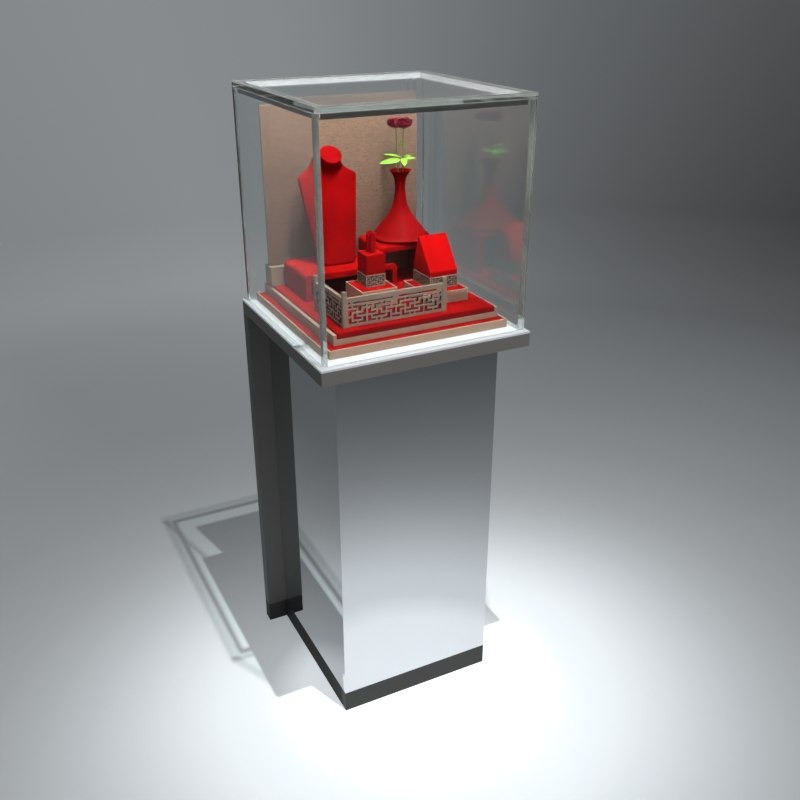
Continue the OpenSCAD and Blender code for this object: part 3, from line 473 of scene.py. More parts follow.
opal_acrylic, tree, shader = finish("opal_acrylic", {"Emission Strength": 1.0})
ways = place(tree, "SeparateXYZ", {0: place(tree, "TexCoord").outputs["Object"]}).outputs
side_x = reckon(tree, "ABSOLUTE", ways["X"])
side_y = reckon(tree, "ABSOLUTE", ways["Y"])
inside = reckon(tree, "LESS_THAN", reckon(tree, "MAXIMUM", side_x, side_y), OPAL_LIT_HALF)
faces_up = place(tree, "SeparateXYZ", {0: place(tree, "NewGeometry").outputs["Normal"]}).outputs["Z"]
rim = reckon(tree, "LESS_THAN", faces_up, 0.5)
lit = plus(tree, times(tree, inside, OPAL_GLOW), times(tree, rim, OPAL_RIM_GLOW))
uneven = plus(tree, times(tree, noise(tree, OPAL_PATCHES), OPAL_UNEVEN), 1 - OPAL_UNEVEN / 2)
lit = times(tree, lit, uneven)
base = use(tree, grain, color=OPAL_WHITE, cells_per_metre=500.0, fleck=0.02, clouds=0.04,
           roughness=0.3, roughness_change=0.1)
wire(tree, shader, base["Color"], base["Roughness"], base["Height"], 0.02)
tree.links.new(tinted(tree, OPAL_TINT, lit), shader.inputs["Emission Color"])
dress(opal_acrylic, "opal_sheet", edge=0.0006)

# Glass hood: five panes of 12 mm float glass, bonded edge to edge with clear adhesive and
# polished at the rims. It tints what is seen through it a little green, and lifts off whole.

GLASS_GREEN = (0.7, 0.86, 0.81, 1)
GLASS_DEPTH = 1.1
GLASS_SHADE = (0.955, 0.975, 0.97, 1)
GLASS_FACE = (0.98, 1.0, 0.995, 1)

clear_glass, tree, shader = finish("clear_glass", {
    "Base Color": GLASS_FACE, "Transmission Weight": 1.0, "IOR": 1.5, "Roughness": 0.0})
ray = place(tree, "LightPath").outputs
light_through = place(tree, "BsdfTransparent", {"Color": GLASS_SHADE})
pane = place(tree, "MixShader", {0: ray["Is Shadow Ray"], 1: shader.outputs[0],
                                 2: light_through.outputs[0]})
tree.links.new(pane.outputs[0], tree.nodes["Material Output"].inputs["Surface"])
depth_tint = place(tree, "VolumeAbsorption", {"Color": GLASS_GREEN, "Density": GLASS_DEPTH})
tree.links.new(depth_tint.outputs[0], tree.nodes["Material Output"].inputs["Volume"])
dress(clear_glass, "glass_front", "glass_back", "glass_left", "glass_right", "glass_top", edge=0.0007)

# Bonds and rims of the hood: clear adhesive set between the panes, and the ground and polished
# outer rims of the glass. Both scatter light and look pale, and both glow a little with painted light.

PANE_THICK = 0.012
BOND_GAP = 0.0004
BOND_HALF = 0.00025
RIM_THICK = 0.00008
FILM_PATCHES = 12.0
FILM_DULL = linear(196, 196, 188)
FILM_CLEAR = linear(214, 214, 206)
# the pale film's glow: painted light, from no lamp
FILM_PAINTED_GLOW = (0.85, 0.84, 0.8, 1)


def blank(name, low, high):
    """A box between two corners, as the start of a piece."""
    bpy.ops.object.select_all(action="DESELECT")
    low, high = Vector(low), Vector(high)
    bpy.ops.mesh.primitive_cube_add(size=1, location=(low + high) / 2, scale=high - low)
    bpy.ops.object.transform_apply(location=True, rotation=True, scale=True)
    piece = bpy.context.object
    piece.name = piece.data.name = name
    return piece


def alone(piece):
    """Leaves one piece selected and active, in object mode."""
    if bpy.context.object and bpy.context.object.mode != "OBJECT":
        bpy.ops.object.mode_set(mode="OBJECT")
    bpy.ops.object.select_all(action="DESELECT")
    piece.select_set(True)
    bpy.context.view_layer.objects.active = piece
    return piece


def joined(name, pieces):
    """Several meshes joined into one piece."""
    alone(pieces[0])
    for piece in pieces:
        piece.select_set(True)
    bpy.ops.object.join()
    made = bpy.context.object
    made.name = made.data.name = name
    return made


def settle(piece, material, slot, body, *stood_for):
    """Gives a finished piece its material, its body and the CAD nodes it stands for; the slot is not used.
    """
    piece.data.materials.clear()
    piece.data.materials.append(material)
    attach(piece, body)
    if stood_for:
        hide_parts(*stood_for)
    return piece


def cloudy(name, least, most, glow):
    """Clear adhesive or ground glass: a pale film covering between a least and a most share, with a painted
    glow.
    """
    made, tree, shader = finish(name, {
        "Roughness": 0.25, "Emission Color": FILM_PAINTED_GLOW, "Emission Strength": glow})
    clouds = noise(tree, FILM_PATCHES)
    tree.links.new(between(tree, clouds, 0.35, 0.65, least, most), shader.inputs["Alpha"])
    tree.links.new(blend(tree, clouds, FILM_DULL, FILM_CLEAR), shader.inputs["Base Color"])
    return made


hood_low, hood_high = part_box("glass_front")
top_low, top_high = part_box("glass_top")
half = top_high.x
seam_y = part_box("glass_left")[1].y + BOND_GAP / 2
seam_z = (hood_high.z + top_low.z) / 2
bonds = []
for side in (-1, 1):
    outer, inner = sorted((side * half, side * (half - PANE_THICK)))
    for end in (-1, 1):
        bonds.append(blank("bond", (outer, end * seam_y - BOND_HALF, hood_low.z),
                           (inner, end * seam_y + BOND_HALF, hood_high.z)))
    bonds.append(blank("bond", (outer, -half, seam_z - BOND_HALF), (inner, half, seam_z + BOND_HALF)))
    bonds.append(blank("bond", (-half + PANE_THICK, outer, seam_z - BOND_HALF),
                       (half - PANE_THICK, inner, seam_z + BOND_HALF)))
rims = []
for side in (-1, 1):
    low_x, high_x = sorted((side * half, side * (half + RIM_THICK)))
    rims.append(blank("rim", (low_x, -half, top_low.z), (high_x, half, top_high.z)))
    rims.append(blank("rim", (-half, low_x, top_low.z), (half, high_x, top_high.z)))
    for end in (-1, 1):
        low_y, high_y = sorted((end * half, end * (half - PANE_THICK)))
        rims.append(blank("rim", (low_x, low_y, hood_low.z), (high_x, high_y, hood_high.z)))
hood_bonds = joined("hood_bonds", bonds)
hood_rims = joined("hood_rims", rims)
# bonds and rims glow faintly with painted light
settle(hood_bonds, cloudy("glass_bond", least=0.15, most=0.22, glow=0.1), "clear_glass", "hood")
settle(hood_rims, cloudy("glass_rim", least=0.1, most=0.15, glow=0.05), "clear_glass", "hood")

# Light ring under the hood's top: dark anodised channels, each with an opal cover towards the
# middle, and the two current strips that run down the rear glass.

CHANNEL = linear(75, 76, 75)
CHANNEL_WORN = linear(110, 108, 104)
STRIP = linear(208, 210, 213)
STRIP_WORN = linear(228, 228, 228)
COVER_WHITE = linear(236, 238, 240)
COVER_TINT = (0.96, 0.99, 1.0)
COVER_GLOW = 0.7
COVER_PATCHES = 60.0
COVER_LEAST = 0.94
COVER_UNEVEN = 0.08

dark_aluminium = lacquered("dark_aluminium", CHANNEL, CHANNEL_WORN, 0.38, fleck=0.08, amount=0.4,
                           metallic=0.6)
bare_aluminium = lacquered("bare_aluminium", STRIP, STRIP_WORN, 0.3, fleck=0.08, amount=0.3,
                           metallic=1.0)
light_cover, tree, shader = finish("light_cover", {"Emission Strength": COVER_GLOW})
base = use(tree, grain, color=COVER_WHITE, cells_per_metre=600.0, fleck=0.02, clouds=0.02,
           roughness=0.4, roughness_change=0.05)
wire(tree, shader, base["Color"], base["Roughness"])
bright = plus(tree, times(tree, noise(tree, COVER_PATCHES, 1.0), COVER_UNEVEN), COVER_LEAST)
tree.links.new(tinted(tree, COVER_TINT, bright), shader.inputs["Emission Color"])
dress(dark_aluminium, "led_profiles", edge=0.0004)
dress(light_cover, "led_diffusers", edge=0.0003)
dress(bare_aluminium, "hood_conductors", edge=0.0002)

# Trays and tiles: boards covered in beige suede cloth, whose short nap shows as a fine speckle,
# paler along the edges where it is rubbed.

SUEDE = linear(166, 139, 119)
SUEDE_RUBBED = linear(200, 180, 155)
SUEDE_SHEEN = (0.95, 0.88, 0.78, 1)


def napped(name, colour, rubbed, cells=1400.0):
    """Short-napped cloth over a board: speckle, soft brushing and rubbed edges."""
    made, tree, shader = finish(name, {
        "Specular IOR Level": 0.25, "Sheen Weight": 0.05, "Sheen Tint": SUEDE_SHEEN})
    base = use(tree, grain, color=colour, cells_per_metre=cells, fleck=0.34, clouds=0.14, roughness=0.86,
               roughness_change=0.1)
    top = use(tree, edge_wear, color=base["Color"], worn_color=rubbed, amount=0.6)
    wire(tree, shader, top["Color"], base["Roughness"], base["Height"], 0.35, 0.0004)
    return made


beige_suede = napped("beige_suede", SUEDE, SUEDE_RUBBED)
dress(beige_suede, "tier1_tray", "tier2_tray", "tile_left", "tile_right", edge=0.0006)

# Velvet pads: thin boards under foam, wrapped in red velvet, which lie in the trays and tiles.
# The cloth rounds their rims, and the foam gives way a little there.

VELVET_RED = linear(144, 0, 0)
VELVET_SHADE = linear(128, 0, 0)
VELVET_SHEEN = (0.9, 0.12, 0.12, 1)
PAD_ROUND = 0.0022
PAD_DIP = 0.0006
PAD_CUTS = 10

# Velvet pile: brushed patches where the pile lies another way, and the pile's own fine stipple.
pile, into, out = effect("velvet_pile", [
    ("Color", "Color", (0.7, 0.0, 0.0, 1)), ("Brushed color", "Color", (0.5, 0.0, 0.0, 1)),
    ("Patches per metre", "Float", 16.0)], [("Color", "Color"), ("Roughness", "Float"), ("Height", "Float")])
brushed = between(pile, noise(pile, into["Patches per metre"], 4.0, 0.55), 0.42, 0.7)
stipple = noise(pile, 2600.0, 2.0, 0.6)
laid = blend(pile, brushed, into["Color"], into["Brushed color"])
tone = plus(pile, times(pile, stipple, 0.3), 0.85)
pile.links.new(tinted(pile, laid, tone), out["Color"])
pile.links.new(plus(pile, times(pile, brushed, 0.1), 0.8), out["Roughness"])
pile.links.new(stipple, out["Height"])


def velvet(name, colour, brushed_colour, patches=16.0):
    """Red display velvet, with a soft sheen at glancing angles."""
    made, tree, shader = finish(name, {
        "Specular IOR Level": 0.04, "Sheen Weight": 0.03, "Sheen Roughness": 0.45,
        "Sheen Tint": VELVET_SHEEN})
    nap = use(tree, pile, color=colour, brushed_color=brushed_colour, patches_per_metre=patches)
    wire(tree, shader, nap["Color"], nap["Roughness"], nap["Height"], 0.3, 0.0003)
    return made


def apply_all(piece):
    """Applies every modifier of a piece, in order."""
    alone(piece)
    for modifier in list(piece.modifiers):
        bpy.ops.object.modifier_apply(modifier=modifier.name)
    return piece


def round_over(piece, width, segments=3, angle=30):
    """Rounds a piece's edges for good."""
    bevelled(piece, width, segments, angle)
    return apply_all(piece)


def smooth(piece, angle=40):
    """Smooth shading except over sharp edges."""
    alone(piece)
    bpy.ops.object.shade_smooth_by_angle(angle=math.radians(angle))
    return piece


def wrapped_pad(name, node):
    """A pad in the place of its CAD solid: rims rounded by the cloth, its top dipping at them."""
    low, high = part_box(node)
    pad = round_over(blank(name, low, high), PAD_ROUND, 4)
    alone(pad)
    bpy.ops.object.mode_set(mode="EDIT")
    for cut in range(PAD_CUTS):
        for axis in (0, 1):
            at = low[axis] + (high[axis] - low[axis]) * (cut + 0.5) / PAD_CUTS
            normal = (1, 0, 0) if axis == 0 else (0, 1, 0)
            point = (at, 0, 0) if axis == 0 else (0, at, 0)
            bpy.ops.mesh.select_all(action="SELECT")
            bpy.ops.mesh.bisect(plane_co=point, plane_no=normal)
    bpy.ops.object.mode_set(mode="OBJECT")
    middle = (low + high) / 2
    for v in pad.data.vertices:
        if v.co.z > middle.z:
            u = abs(v.co.x - middle.x) / (high.x - middle.x)
            w = abs(v.co.y - middle.y) / (high.y - middle.y)
            v.co.z -= PAD_DIP * min(1, u ** 8 + w ** 8)
    smooth(pad, 50)
    return pad


velvet_pad = velvet("velvet_pad", VELVET_RED, VELVET_SHADE)
for name in ("tier1_pad", "tier2_pad", "tile_left_pad", "tile_right_pad"):
    settle(wrapped_pad(name + "_cloth", name), velvet_pad, "red_velvet_pad", "cabinet", name)

# Backdrop: a heavy block covered in beige cloth carries an upright board, stretched with linen
# inside a thin frame and a pressed groove.

LINEN = linear(138, 110, 93)
LINEN_SLUB = linear(100, 79, 65)
LINEN_FRAME = linear(166, 142, 116)
LINEN_FRAME_WORN = linear(208, 184, 152)
BLOCK_BEIGE = linear(141, 122, 103)
BLOCK_WORN = linear(170, 150, 128)
THREADS = 700.0
SLUB_CELLS = 60.0
BOARD_FRAME = 0.006
BOARD_GROOVE = 0.0022
BOARD_GROOVE_DEPTH = 0.002
BOARD_ROUND = 0.0004

# Linen weave: crossing threads with thick slubs along both ways, on an upright board.
weave, into, out = effect("linen_weave", [
    ("Color", "Color", (0.4, 0.3, 0.2, 1)), ("Slub color", "Color", (0.3, 0.2, 0.15, 1)),
    ("Threads per metre", "Float", 700.0)], [("Color", "Color"), ("Height", "Float")])
spot = place(weave, "TexCoord").outputs["Object"]
ways = place(weave, "SeparateXYZ", {0: spot}).outputs
turns = times(weave, into["Threads per metre"], math.pi)
warp = reckon(weave, "SINE", times(weave, ways["X"], turns))
weft = reckon(weave, "SINE", times(weave, ways["Z"], turns))
over = plus(weave, times(weave, times(weave, warp, weft), 0.5), 0.5)
across = noise(weave, SLUB_CELLS, 4.0, 0.7, where=spot, stretch=(1.5, 1, 20))
down = noise(weave, SLUB_CELLS, 4.0, 0.7, where=spot, stretch=(20, 1, 1.5))
slub = plus(weave, times(weave, across, 0.7), times(weave, down, 0.3))
slub = between(weave, slub, 0.38, 0.62)
cloth = blend(weave, slub, into["Color"], into["Slub color"])
tone = plus(weave, times(weave, over, 0.16), 0.92)
weave.links.new(tinted(weave, cloth, tone), out["Color"])
weave.links.new(plus(weave, over, slub), out["Height"])


def pick(piece, wanted):
    """In edit mode, selects the faces whose middle and normal pass a test."""
    mesh = bmesh.from_edit_mesh(piece.data)
    mesh.normal_update()
    for face in mesh.faces:
        face.select_set(bool(wanted(face.calc_center_median(), face.normal)))
    bmesh.update_edit_mesh(piece.data)


linen, tree, shader = finish("linen", {"Specular IOR Level": 0.2, "Roughness": 0.88})
cloth = use(tree, weave, color=LINEN, slub_color=LINEN_SLUB, threads_per_metre=THREADS)
wire(tree, shader, cloth["Color"], None, cloth["Height"], 0.3, 0.0004)
frame_wood = lacquered("linen_frame", LINEN_FRAME, LINEN_FRAME_WORN, 0.6, fleck=0.2)
board = blank("backdrop_linen", *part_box("backdrop_board"))
board.data.materials.append(frame_wood)
board.data.materials.append(linen)
alone(board)
bpy.ops.object.mode_set(mode="EDIT")
for facing in (-1, 1):
    pick(board, lambda at, out_of: out_of.y * facing > 0.9)
    bpy.ops.mesh.inset(thickness=BOARD_FRAME)
    bpy.ops.mesh.inset(thickness=BOARD_GROOVE, depth=-BOARD_GROOVE_DEPTH)
    bpy.ops.mesh.inset(thickness=BOARD_GROOVE * 0.4, depth=BOARD_GROOVE_DEPTH * 0.8)
    board.active_material_index = 1
    bpy.ops.object.material_slot_assign()
bpy.ops.object.mode_set(mode="OBJECT")
round_over(board, BOARD_ROUND, 2)
smooth(board)
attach(board, "cabinet")
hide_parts("backdrop_board")
block_cloth = napped("block_cloth", BLOCK_BEIGE, BLOCK_WORN, cells=900.0)
dress(block_cloth, "backdrop_base", edge=0.0008)

# Risers and bracelet hoop: boards glued into an upturned U and wrapped in red velvet. They
# stand loose on the pads.

RISER_RED = linear(146, 0, 0)

velvet_board = velvet("velvet_board", RISER_RED, VELVET_SHADE, patches=12.0)
dress(velvet_board, "riser_left", "riser_back", "bracelet_hoop", edge=0.0012, segments=3)

# Fretwork fence: sawn wooden panels between square posts, sprayed beige, on two sides of the
# upper tray. Their cuts are darkened with painted shade, and their worn edges are lighter, partly
# as painted highlight.

FRET_BEIGE = linear(141, 119, 104)
# worn edges, lighter also as a painted highlight on the rims
FRET_WORN_AND_HIGHLIGHT = linear(206, 184, 160)
# painted shade inside the fretwork's cuts
FRET_PAINTED_SHADE = linear(44, 33, 26)
FENCE_CUT = 0.0035
FENCE_FOOT = 0.006
FENCE_RAIL = 0.0095
FENCE_EDGE = 0.0004

# the posts' worn edges carry the same painted highlight
beige_lacquer = lacquered("beige_lacquer", FRET_BEIGE, FRET_WORN_AND_HIGHLIGHT, 0.6, fleck=0.16, amount=0.7)
dress(beige_lacquer, "fence_posts", edge=FENCE_EDGE)


def fretted(node, axes, depth, below, above, edge):
    """Lacquer for sawn fretwork: painted shade inside the cuts, between a foot rail and a top rail."""
    low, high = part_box(node)
    made, tree, shader = finish(node + "_lacquer", {})
    ways = place(tree, "SeparateXYZ", {0: place(tree, "TexCoord").outputs["Object"]}).outputs
    sunk = None
    for axis in axes:
        at = "XYZ".index(axis)
        aside = reckon(tree, "ABSOLUTE", minus(tree, ways[axis], (low[at] + high[at]) / 2))
        behind = minus(tree, (high[at] - low[at]) / 2, aside)
        sunk = behind if sunk is None else reckon(tree, "MINIMUM", sunk, behind)
    # painted shade, deepening into each cut
    recess_painted_shade = between(tree, sunk, depth * 0.04, depth * 0.3)
    over_foot = reckon(tree, "GREATER_THAN", ways["Z"], low.z + below)
    under_rail = reckon(tree, "LESS_THAN", ways["Z"], high.z - above)
    recess_painted_shade = times(tree, recess_painted_shade, times(tree, over_foot, under_rail))
    coat(tree, shader, blend(tree, recess_painted_shade, FRET_BEIGE, FRET_PAINTED_SHADE), FRET_WORN_AND_HIGHLIGHT, 0.6, fleck=0.16)
    dress(made, node, edge=edge)


fretted("fence_front", "Y", FENCE_CUT, FENCE_FOOT, FENCE_RAIL, FENCE_EDGE)
fretted("fence_side", "X", FENCE_CUT, FENCE_FOOT, FENCE_RAIL, FENCE_EDGE)

# Necklace bust: a moulded form under tight red velvet. Its back leans, its shoulders are
# round, and the neck ends in a flat disc that tilts to the front.

BUST_X = -0.064
BUST_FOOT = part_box("bust")[0].z
# the bust's velvet is a darker copy of the pads' red velvet: painted shade
BUST_PAINTED_SHADE_RED = linear(127, 0, 1)
BUST_BRUSHED_PAINTED_SHADE = linear(108, 0, 1)
BUST_SQUARE = 3.2
NECK_SQUARE = 2.0
NECK_BACK = 0.115
NECK_HEIGHT = 0.245
NECK_TILT = math.radians(40)
# height above the foot, half width, half depth, distance of the middle behind the counter's centre
BUST_RINGS = [
    (0.000, 0.0360, 0.0110, 0.0860), (0.003, 0.0395, 0.0124, 0.0862), (0.009, 0.0415, 0.0128, 0.0876),
    (0.050, 0.0470, 0.0138, 0.0962), (0.100, 0.0536, 0.0147, 0.1070), (0.140, 0.0590, 0.0143, 0.1163),
    (0.170, 0.0632, 0.0140, 0.1233), (0.186, 0.0656, 0.0137, 0.1270), (0.193, 0.0668, 0.0134, 0.1288),
    (0.198, 0.0648, 0.0128, 0.1298), (0.203, 0.0545, 0.0124, 0.1308), (0.209, 0.0440, 0.0130, 0.1320),
    (0.216, 0.0355, 0.0155, 0.1340)]
# distance below the neck's disc, radius, tilt in degrees
NECK_RINGS = [
    (0.026, 0.0300, 14), (0.017, 0.0265, 26), (0.009, 0.0255, 36), (0.0022, 0.0258, 40),
    (0.0006, 0.0255, 40), (0.0, 0.0245, 40), (0.0001, 0.0120, 40), (0.0001, 0.0020, 40)]


def oval(mesh, count, centre, half_width, half_depth, tilt=0.0, square=2.0):
    """New points on an oval of a given squareness, tilted forward by an angle."""
    lean = Matrix.Rotation(tilt, 3, "X")
    ring = []
    for step in range(count):
        angle = math.tau * step / count
        c, s = math.cos(angle), math.sin(angle)
        x = math.copysign(abs(c) ** (2 / square), c) * half_width
        y = math.copysign(abs(s) ** (2 / square), s) * half_depth
        ring.append(mesh.verts.new(Vector(centre) + lean @ Vector((x, y, 0))))
    return ring


def lofted(name, count, rings):
    """A closed form drawn up through rings of so many points, each given as oval takes it."""
    mesh = bmesh.new()
    drawn = [oval(mesh, count, *ring) for ring in rings]
    for lower, upper in zip(drawn, drawn[1:]):
        for step in range(count):
            after = (step + 1) % count
            mesh.faces.new((lower[step], lower[after], upper[after], upper[step]))
    mesh.faces.new(drawn[0])
    mesh.faces.new(drawn[-1])
    bmesh.ops.recalc_face_normals(mesh, faces=mesh.faces)
    made = bpy.data.objects.new(name, bpy.data.meshes.new(name))
    mesh.to_mesh(made.data)
    mesh.free()
    bpy.context.scene.collection.objects.link(made)
    return made


rings = []
for height, half_width, half_depth, behind in BUST_RINGS:
    squareness = BUST_SQUARE - (BUST_SQUARE - NECK_SQUARE) * (height / BUST_RINGS[-1][0]) ** 4
    rings.append(((BUST_X, behind, BUST_FOOT + height), half_width, half_depth, 0.0, squareness))
neck_top = Vector((BUST_X, NECK_BACK, BUST_FOOT + NECK_HEIGHT))
neck_way = Vector((0, -math.sin(NECK_TILT), math.cos(NECK_TILT)))
for below, radius, tilt in NECK_RINGS:
    rings.append((neck_top - neck_way * below, radius, radius, math.radians(tilt), NECK_SQUARE))
bust = lofted("bust_velvet", 48, rings)
soften = bust.modifiers.new("soften", "SUBSURF")
soften.levels = soften.render_levels = 1
apply_all(bust)
smooth(bust, 60)
# a darker copy of the red velvet, as painted shade
velvet_form = velvet("velvet_form", BUST_PAINTED_SHADE_RED, BUST_BRUSHED_PAINTED_SHADE, patches=10.0)
settle(bust, velvet_form, "red_velvet_pad", "necklace_bust", "bust")

# Vase: turned stoneware with a matt red glaze, a low skirt over its foot ring that draws in
# to a slim neck, and a flared lip.

VASE_AXIS = (0.106, 0.108)
VASE_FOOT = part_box("vase")[0].z
GLAZE_RED = linear(117, 0, 1)
# radius and height above the foot, up the outside, over the lip and down the inside
VASE_OUTSIDE = [
    (0.0586, 0.0000), (0.0589, 0.0006), (0.0589, 0.0031), (0.0600, 0.0038), (0.0690, 0.0041),
    (0.0698, 0.0048), (0.0698, 0.0066), (0.0690, 0.0080), (0.0655, 0.0106), (0.0618, 0.0142),
    (0.0586, 0.0190), (0.0550, 0.0241), (0.0500, 0.0302), (0.0445, 0.0366), (0.0386, 0.0438),
    (0.0332, 0.0508), (0.0284, 0.0574), (0.0243, 0.0638), (0.0211, 0.0702), (0.0186, 0.0768),
    (0.0165, 0.0840), (0.0149, 0.0930), (0.0134, 0.1030), (0.0123, 0.1110), (0.0118, 0.1184),
    (0.0122, 0.1270), (0.0131, 0.1350), (0.0146, 0.1424), (0.0174, 0.1482), (0.0212, 0.1542),
    (0.0250, 0.1589), (0.0258, 0.1598)]
VASE_INSIDE = [
    (0.0250, 0.1600), (0.0232, 0.1590), (0.0188, 0.1540), (0.0142, 0.1460), (0.0110, 0.1360),
    (0.0094, 0.1270), (0.0089, 0.1190), (0.0096, 0.1080), (0.0122, 0.0920), (0.0172, 0.0750),
    (0.0300, 0.0515), (0.0460, 0.0300), (0.0540, 0.0140), (0.0300, 0.0062), (0.0020, 0.0060)]

rings = [((*VASE_AXIS, VASE_FOOT + height), radius, radius) for radius, height in VASE_OUTSIDE + VASE_INSIDE]
vase = smooth(lofted("vase_glazed", 72, rings), 50)
red_glaze, tree, shader = finish("red_glaze", {
    "Specular IOR Level": 0.05, "Coat Weight": 0.01, "Coat Roughness": 0.4})
base = use(tree, grain, color=GLAZE_RED, cells_per_metre=160.0, fleck=0.12, clouds=0.2,
           roughness=0.75, roughness_change=0.12)
wire(tree, shader, base["Color"], base["Roughness"], base["Height"], 0.03, 0.001)
settle(vase, red_glaze, "red_glaze", "rose_vase", "vase")

# Roses: two cloth roses with crimson ruffled petals in rings round a tight heart, each petal
# cut, cupped and curled outward at its rim.

BLOOM_RADIUS = 0.021
PETAL_CRIMSON = linear(156, 14, 46)
# dark patches for the folds between petals: painted shade, scattered by noise
PETAL_FOLD_PAINTED_SHADE = linear(74, 4, 18)
PETAL_SHEEN = (1.0, 0.35, 0.5, 1)
PETAL_THICK = 0.0004
PETAL_FOOT = 0.0022
# centre of each bloom, and the turn of its petals
BLOOMS = [(Vector((0.108, 0.095, 1.368)), 0.3), (Vector((0.110, 0.137, 1.362)), 1.7)]
# petals in the ring, radius at the rim, height of the rim, foot's depth, spread of a petal, outward curl
PETAL_RINGS = [
    (3, 0.0035, 0.0090, -0.012, 2.6, 0.000), (4, 0.0070, 0.0100, -0.013, 2.0, 0.001),
    (5, 0.0110, 0.0095, -0.014, 1.7, 0.002), (5, 0.0150, 0.0080, -0.014, 1.6, 0.004),
    (6, 0.0185, 0.0055, -0.014, 1.35, 0.005), (7, 0.0208, 0.0020, -0.013, 1.2, 0.005)]
PETAL_CELLS = 8


def sheet(name, along, aside):
    """A flat sheet from -1 to 1 both ways, with so many cells each way, to be shaped by its points."""
    bpy.ops.object.select_all(action="DESELECT")
    bpy.ops.mesh.primitive_grid_add(x_subdivisions=along, y_subdivisions=aside, size=2)
    made = bpy.context.object
    made.name = made.data.name = name
    return made


def thicken(piece, thickness):
    """Gives a sheet its thickness, half to each side."""
    wall = piece.modifiers.new("thickness", "SOLIDIFY")
    wall.thickness = thickness
    wall.offset = 0
    return apply_all(piece)


def petal(name, rim_radius, rim_height, foot_depth, spread, curl, ruffle):
    """One petal as a curved sheet, its foot near the stem and its rim ruffled."""
    made = sheet(name, PETAL_CELLS, PETAL_CELLS)
    for v in made.data.vertices:
        u, w = v.co.x, (v.co.y + 1) / 2
        # it opens as a cup, and is broadest at two thirds of its height
        cup = math.sin(min(1.0, w * 1.15) * math.pi / 2)
        breadth = 0.30 + 0.70 * math.sin(math.pi * (0.08 + 0.66 * w)) ** 0.8
        angle = u * spread / 2 * breadth
        # its corners are rounded, and its rim curls outward and down
        rounding = 1 - 0.16 * abs(u) ** 3 * w
        radius = PETAL_FOOT + (rim_radius - PETAL_FOOT) * cup ** 0.8 * rounding
        radius += curl * max(0, w - 0.72) / 0.28
        height = foot_depth + (rim_height - foot_depth) * w ** 1.25 * rounding
        height -= curl * max(0, w - 0.85) * 1.5
        wave = ruffle * w ** 3 * math.sin(4.5 * u + 9 * rim_radius / BLOOM_RADIUS)
        radius = min(radius + wave, BLOOM_RADIUS)
        v.co = (radius * math.cos(angle), radius * math.sin(angle), height + wave * 0.8)
    return made


def bloom(name, centre, turn):
    """A rose of many petals on one centre, as one mesh."""
    petals = []
    for ring, (count, rim, height, depth, spread, curl) in enumerate(PETAL_RINGS):
        for step in range(count):
            made = petal(f"{name}_{ring}_{step}", rim, height, depth, spread, curl, 0.0007 + 0.00025 * ring)
            around = math.tau * (step + 0.37 * ring) / count + turn
            lean = 0.05 * math.sin(2.3 * step + ring + turn)
            made.data.transform(Matrix.Rotation(around, 4, "Z") @ Matrix.Rotation(lean, 4, "Y"))
            petals.append(made)
    rose = joined(name, petals)
    rose.data.transform(Matrix.Translation(centre))
    return smooth(thicken(rose, PETAL_THICK), 70)


rose_petal, tree, shader = finish("rose_petal", {
    "Specular IOR Level": 0.25, "Roughness": 0.62, "Sheen Weight": 0.3, "Sheen Tint": PETAL_SHEEN})
fibre = noise(tree, 500.0, 3.0, 0.6)
# noise scatters dark patches of painted shade for the petals' folds
fold = between(tree, noise(tree, 120.0, 3.0, 0.6), 0.35, 0.65)
wire(tree, shader, blend(tree, fold, PETAL_CRIMSON, PETAL_FOLD_PAINTED_SHADE), None, fibre, 0.25, 0.0004)
roses = [bloom("rose_front", *BLOOMS[0]), bloom("rose_rear", *BLOOMS[1])]
settle(roses[0], rose_petal, "rose_petal", "rose_vase", "rose_blooms")
settle(roses[1], rose_petal, "rose_petal", "rose_vase")

# Stems and leaves: wired green stems that stand on the vase's floor, with bright cloth leaves
# just above the lip and sepals under each bloom.

LEAF_GREEN = linear(146, 204, 54)
LEAF_SHADE = linear(98, 156, 22)
LEAF_THICK = 0.0005
SEPALS = 5
SEPAL_DROP = BLOOM_RADIUS * 0.66
SEPAL_LENGTH = 0.011
SEPAL_WIDTH = 0.0045
SEPAL_RISE = 0.0035
STEM_GREEN = linear(96, 122, 52)
STEM_WORN = linear(140, 160, 80)
# foot of the leaf, direction round the stem, length, width, rise at its tip, roll about its rib
LEAVES = [
    ((0.104, 0.102, 1.283), 176, 0.050, 0.0130, -0.012, -55),
    ((0.111, 0.100, 1.286), 250, 0.020, 0.0150, -0.014, 0),
    ((0.114, 0.104, 1.284), 345, 0.028, 0.0080, 0.000, 35),
    ((0.108, 0.106, 1.288), 160, 0.042, 0.0060, 0.010, -35),
    ((0.112, 0.108, 1.287), 12, 0.026, 0.0060, 0.002, 30),
    ((0.110, 0.119, 1.314), 300, 0.014, 0.0080, 0.004, 30)]


def leaf(name, foot, way, length, width, rise, roll=0):
    """A cloth leaf: folded along its rib, arched, and pointed at both ends."""
    made = sheet(name, 10, 4)
    for v in made.data.vertices:
        along, aside = (v.co.x + 1) / 2, v.co.y
        shape = math.sin(math.pi * along ** 0.8) ** 0.7
        edge = 1 + 0.06 * math.sin(along * 40) * abs(aside)
        v.co = (along * length, aside * width / 2 * shape * edge,
                rise * along + 0.22 * length * along * (1 - along) + abs(aside) * width * 0.16 * shape)
    turn = Matrix.Rotation(math.radians(way), 4, "Z") @ Matrix.Rotation(math.radians(roll), 4, "X")
    made.data.transform(Matrix.Translation(foot) @ turn)
    return made


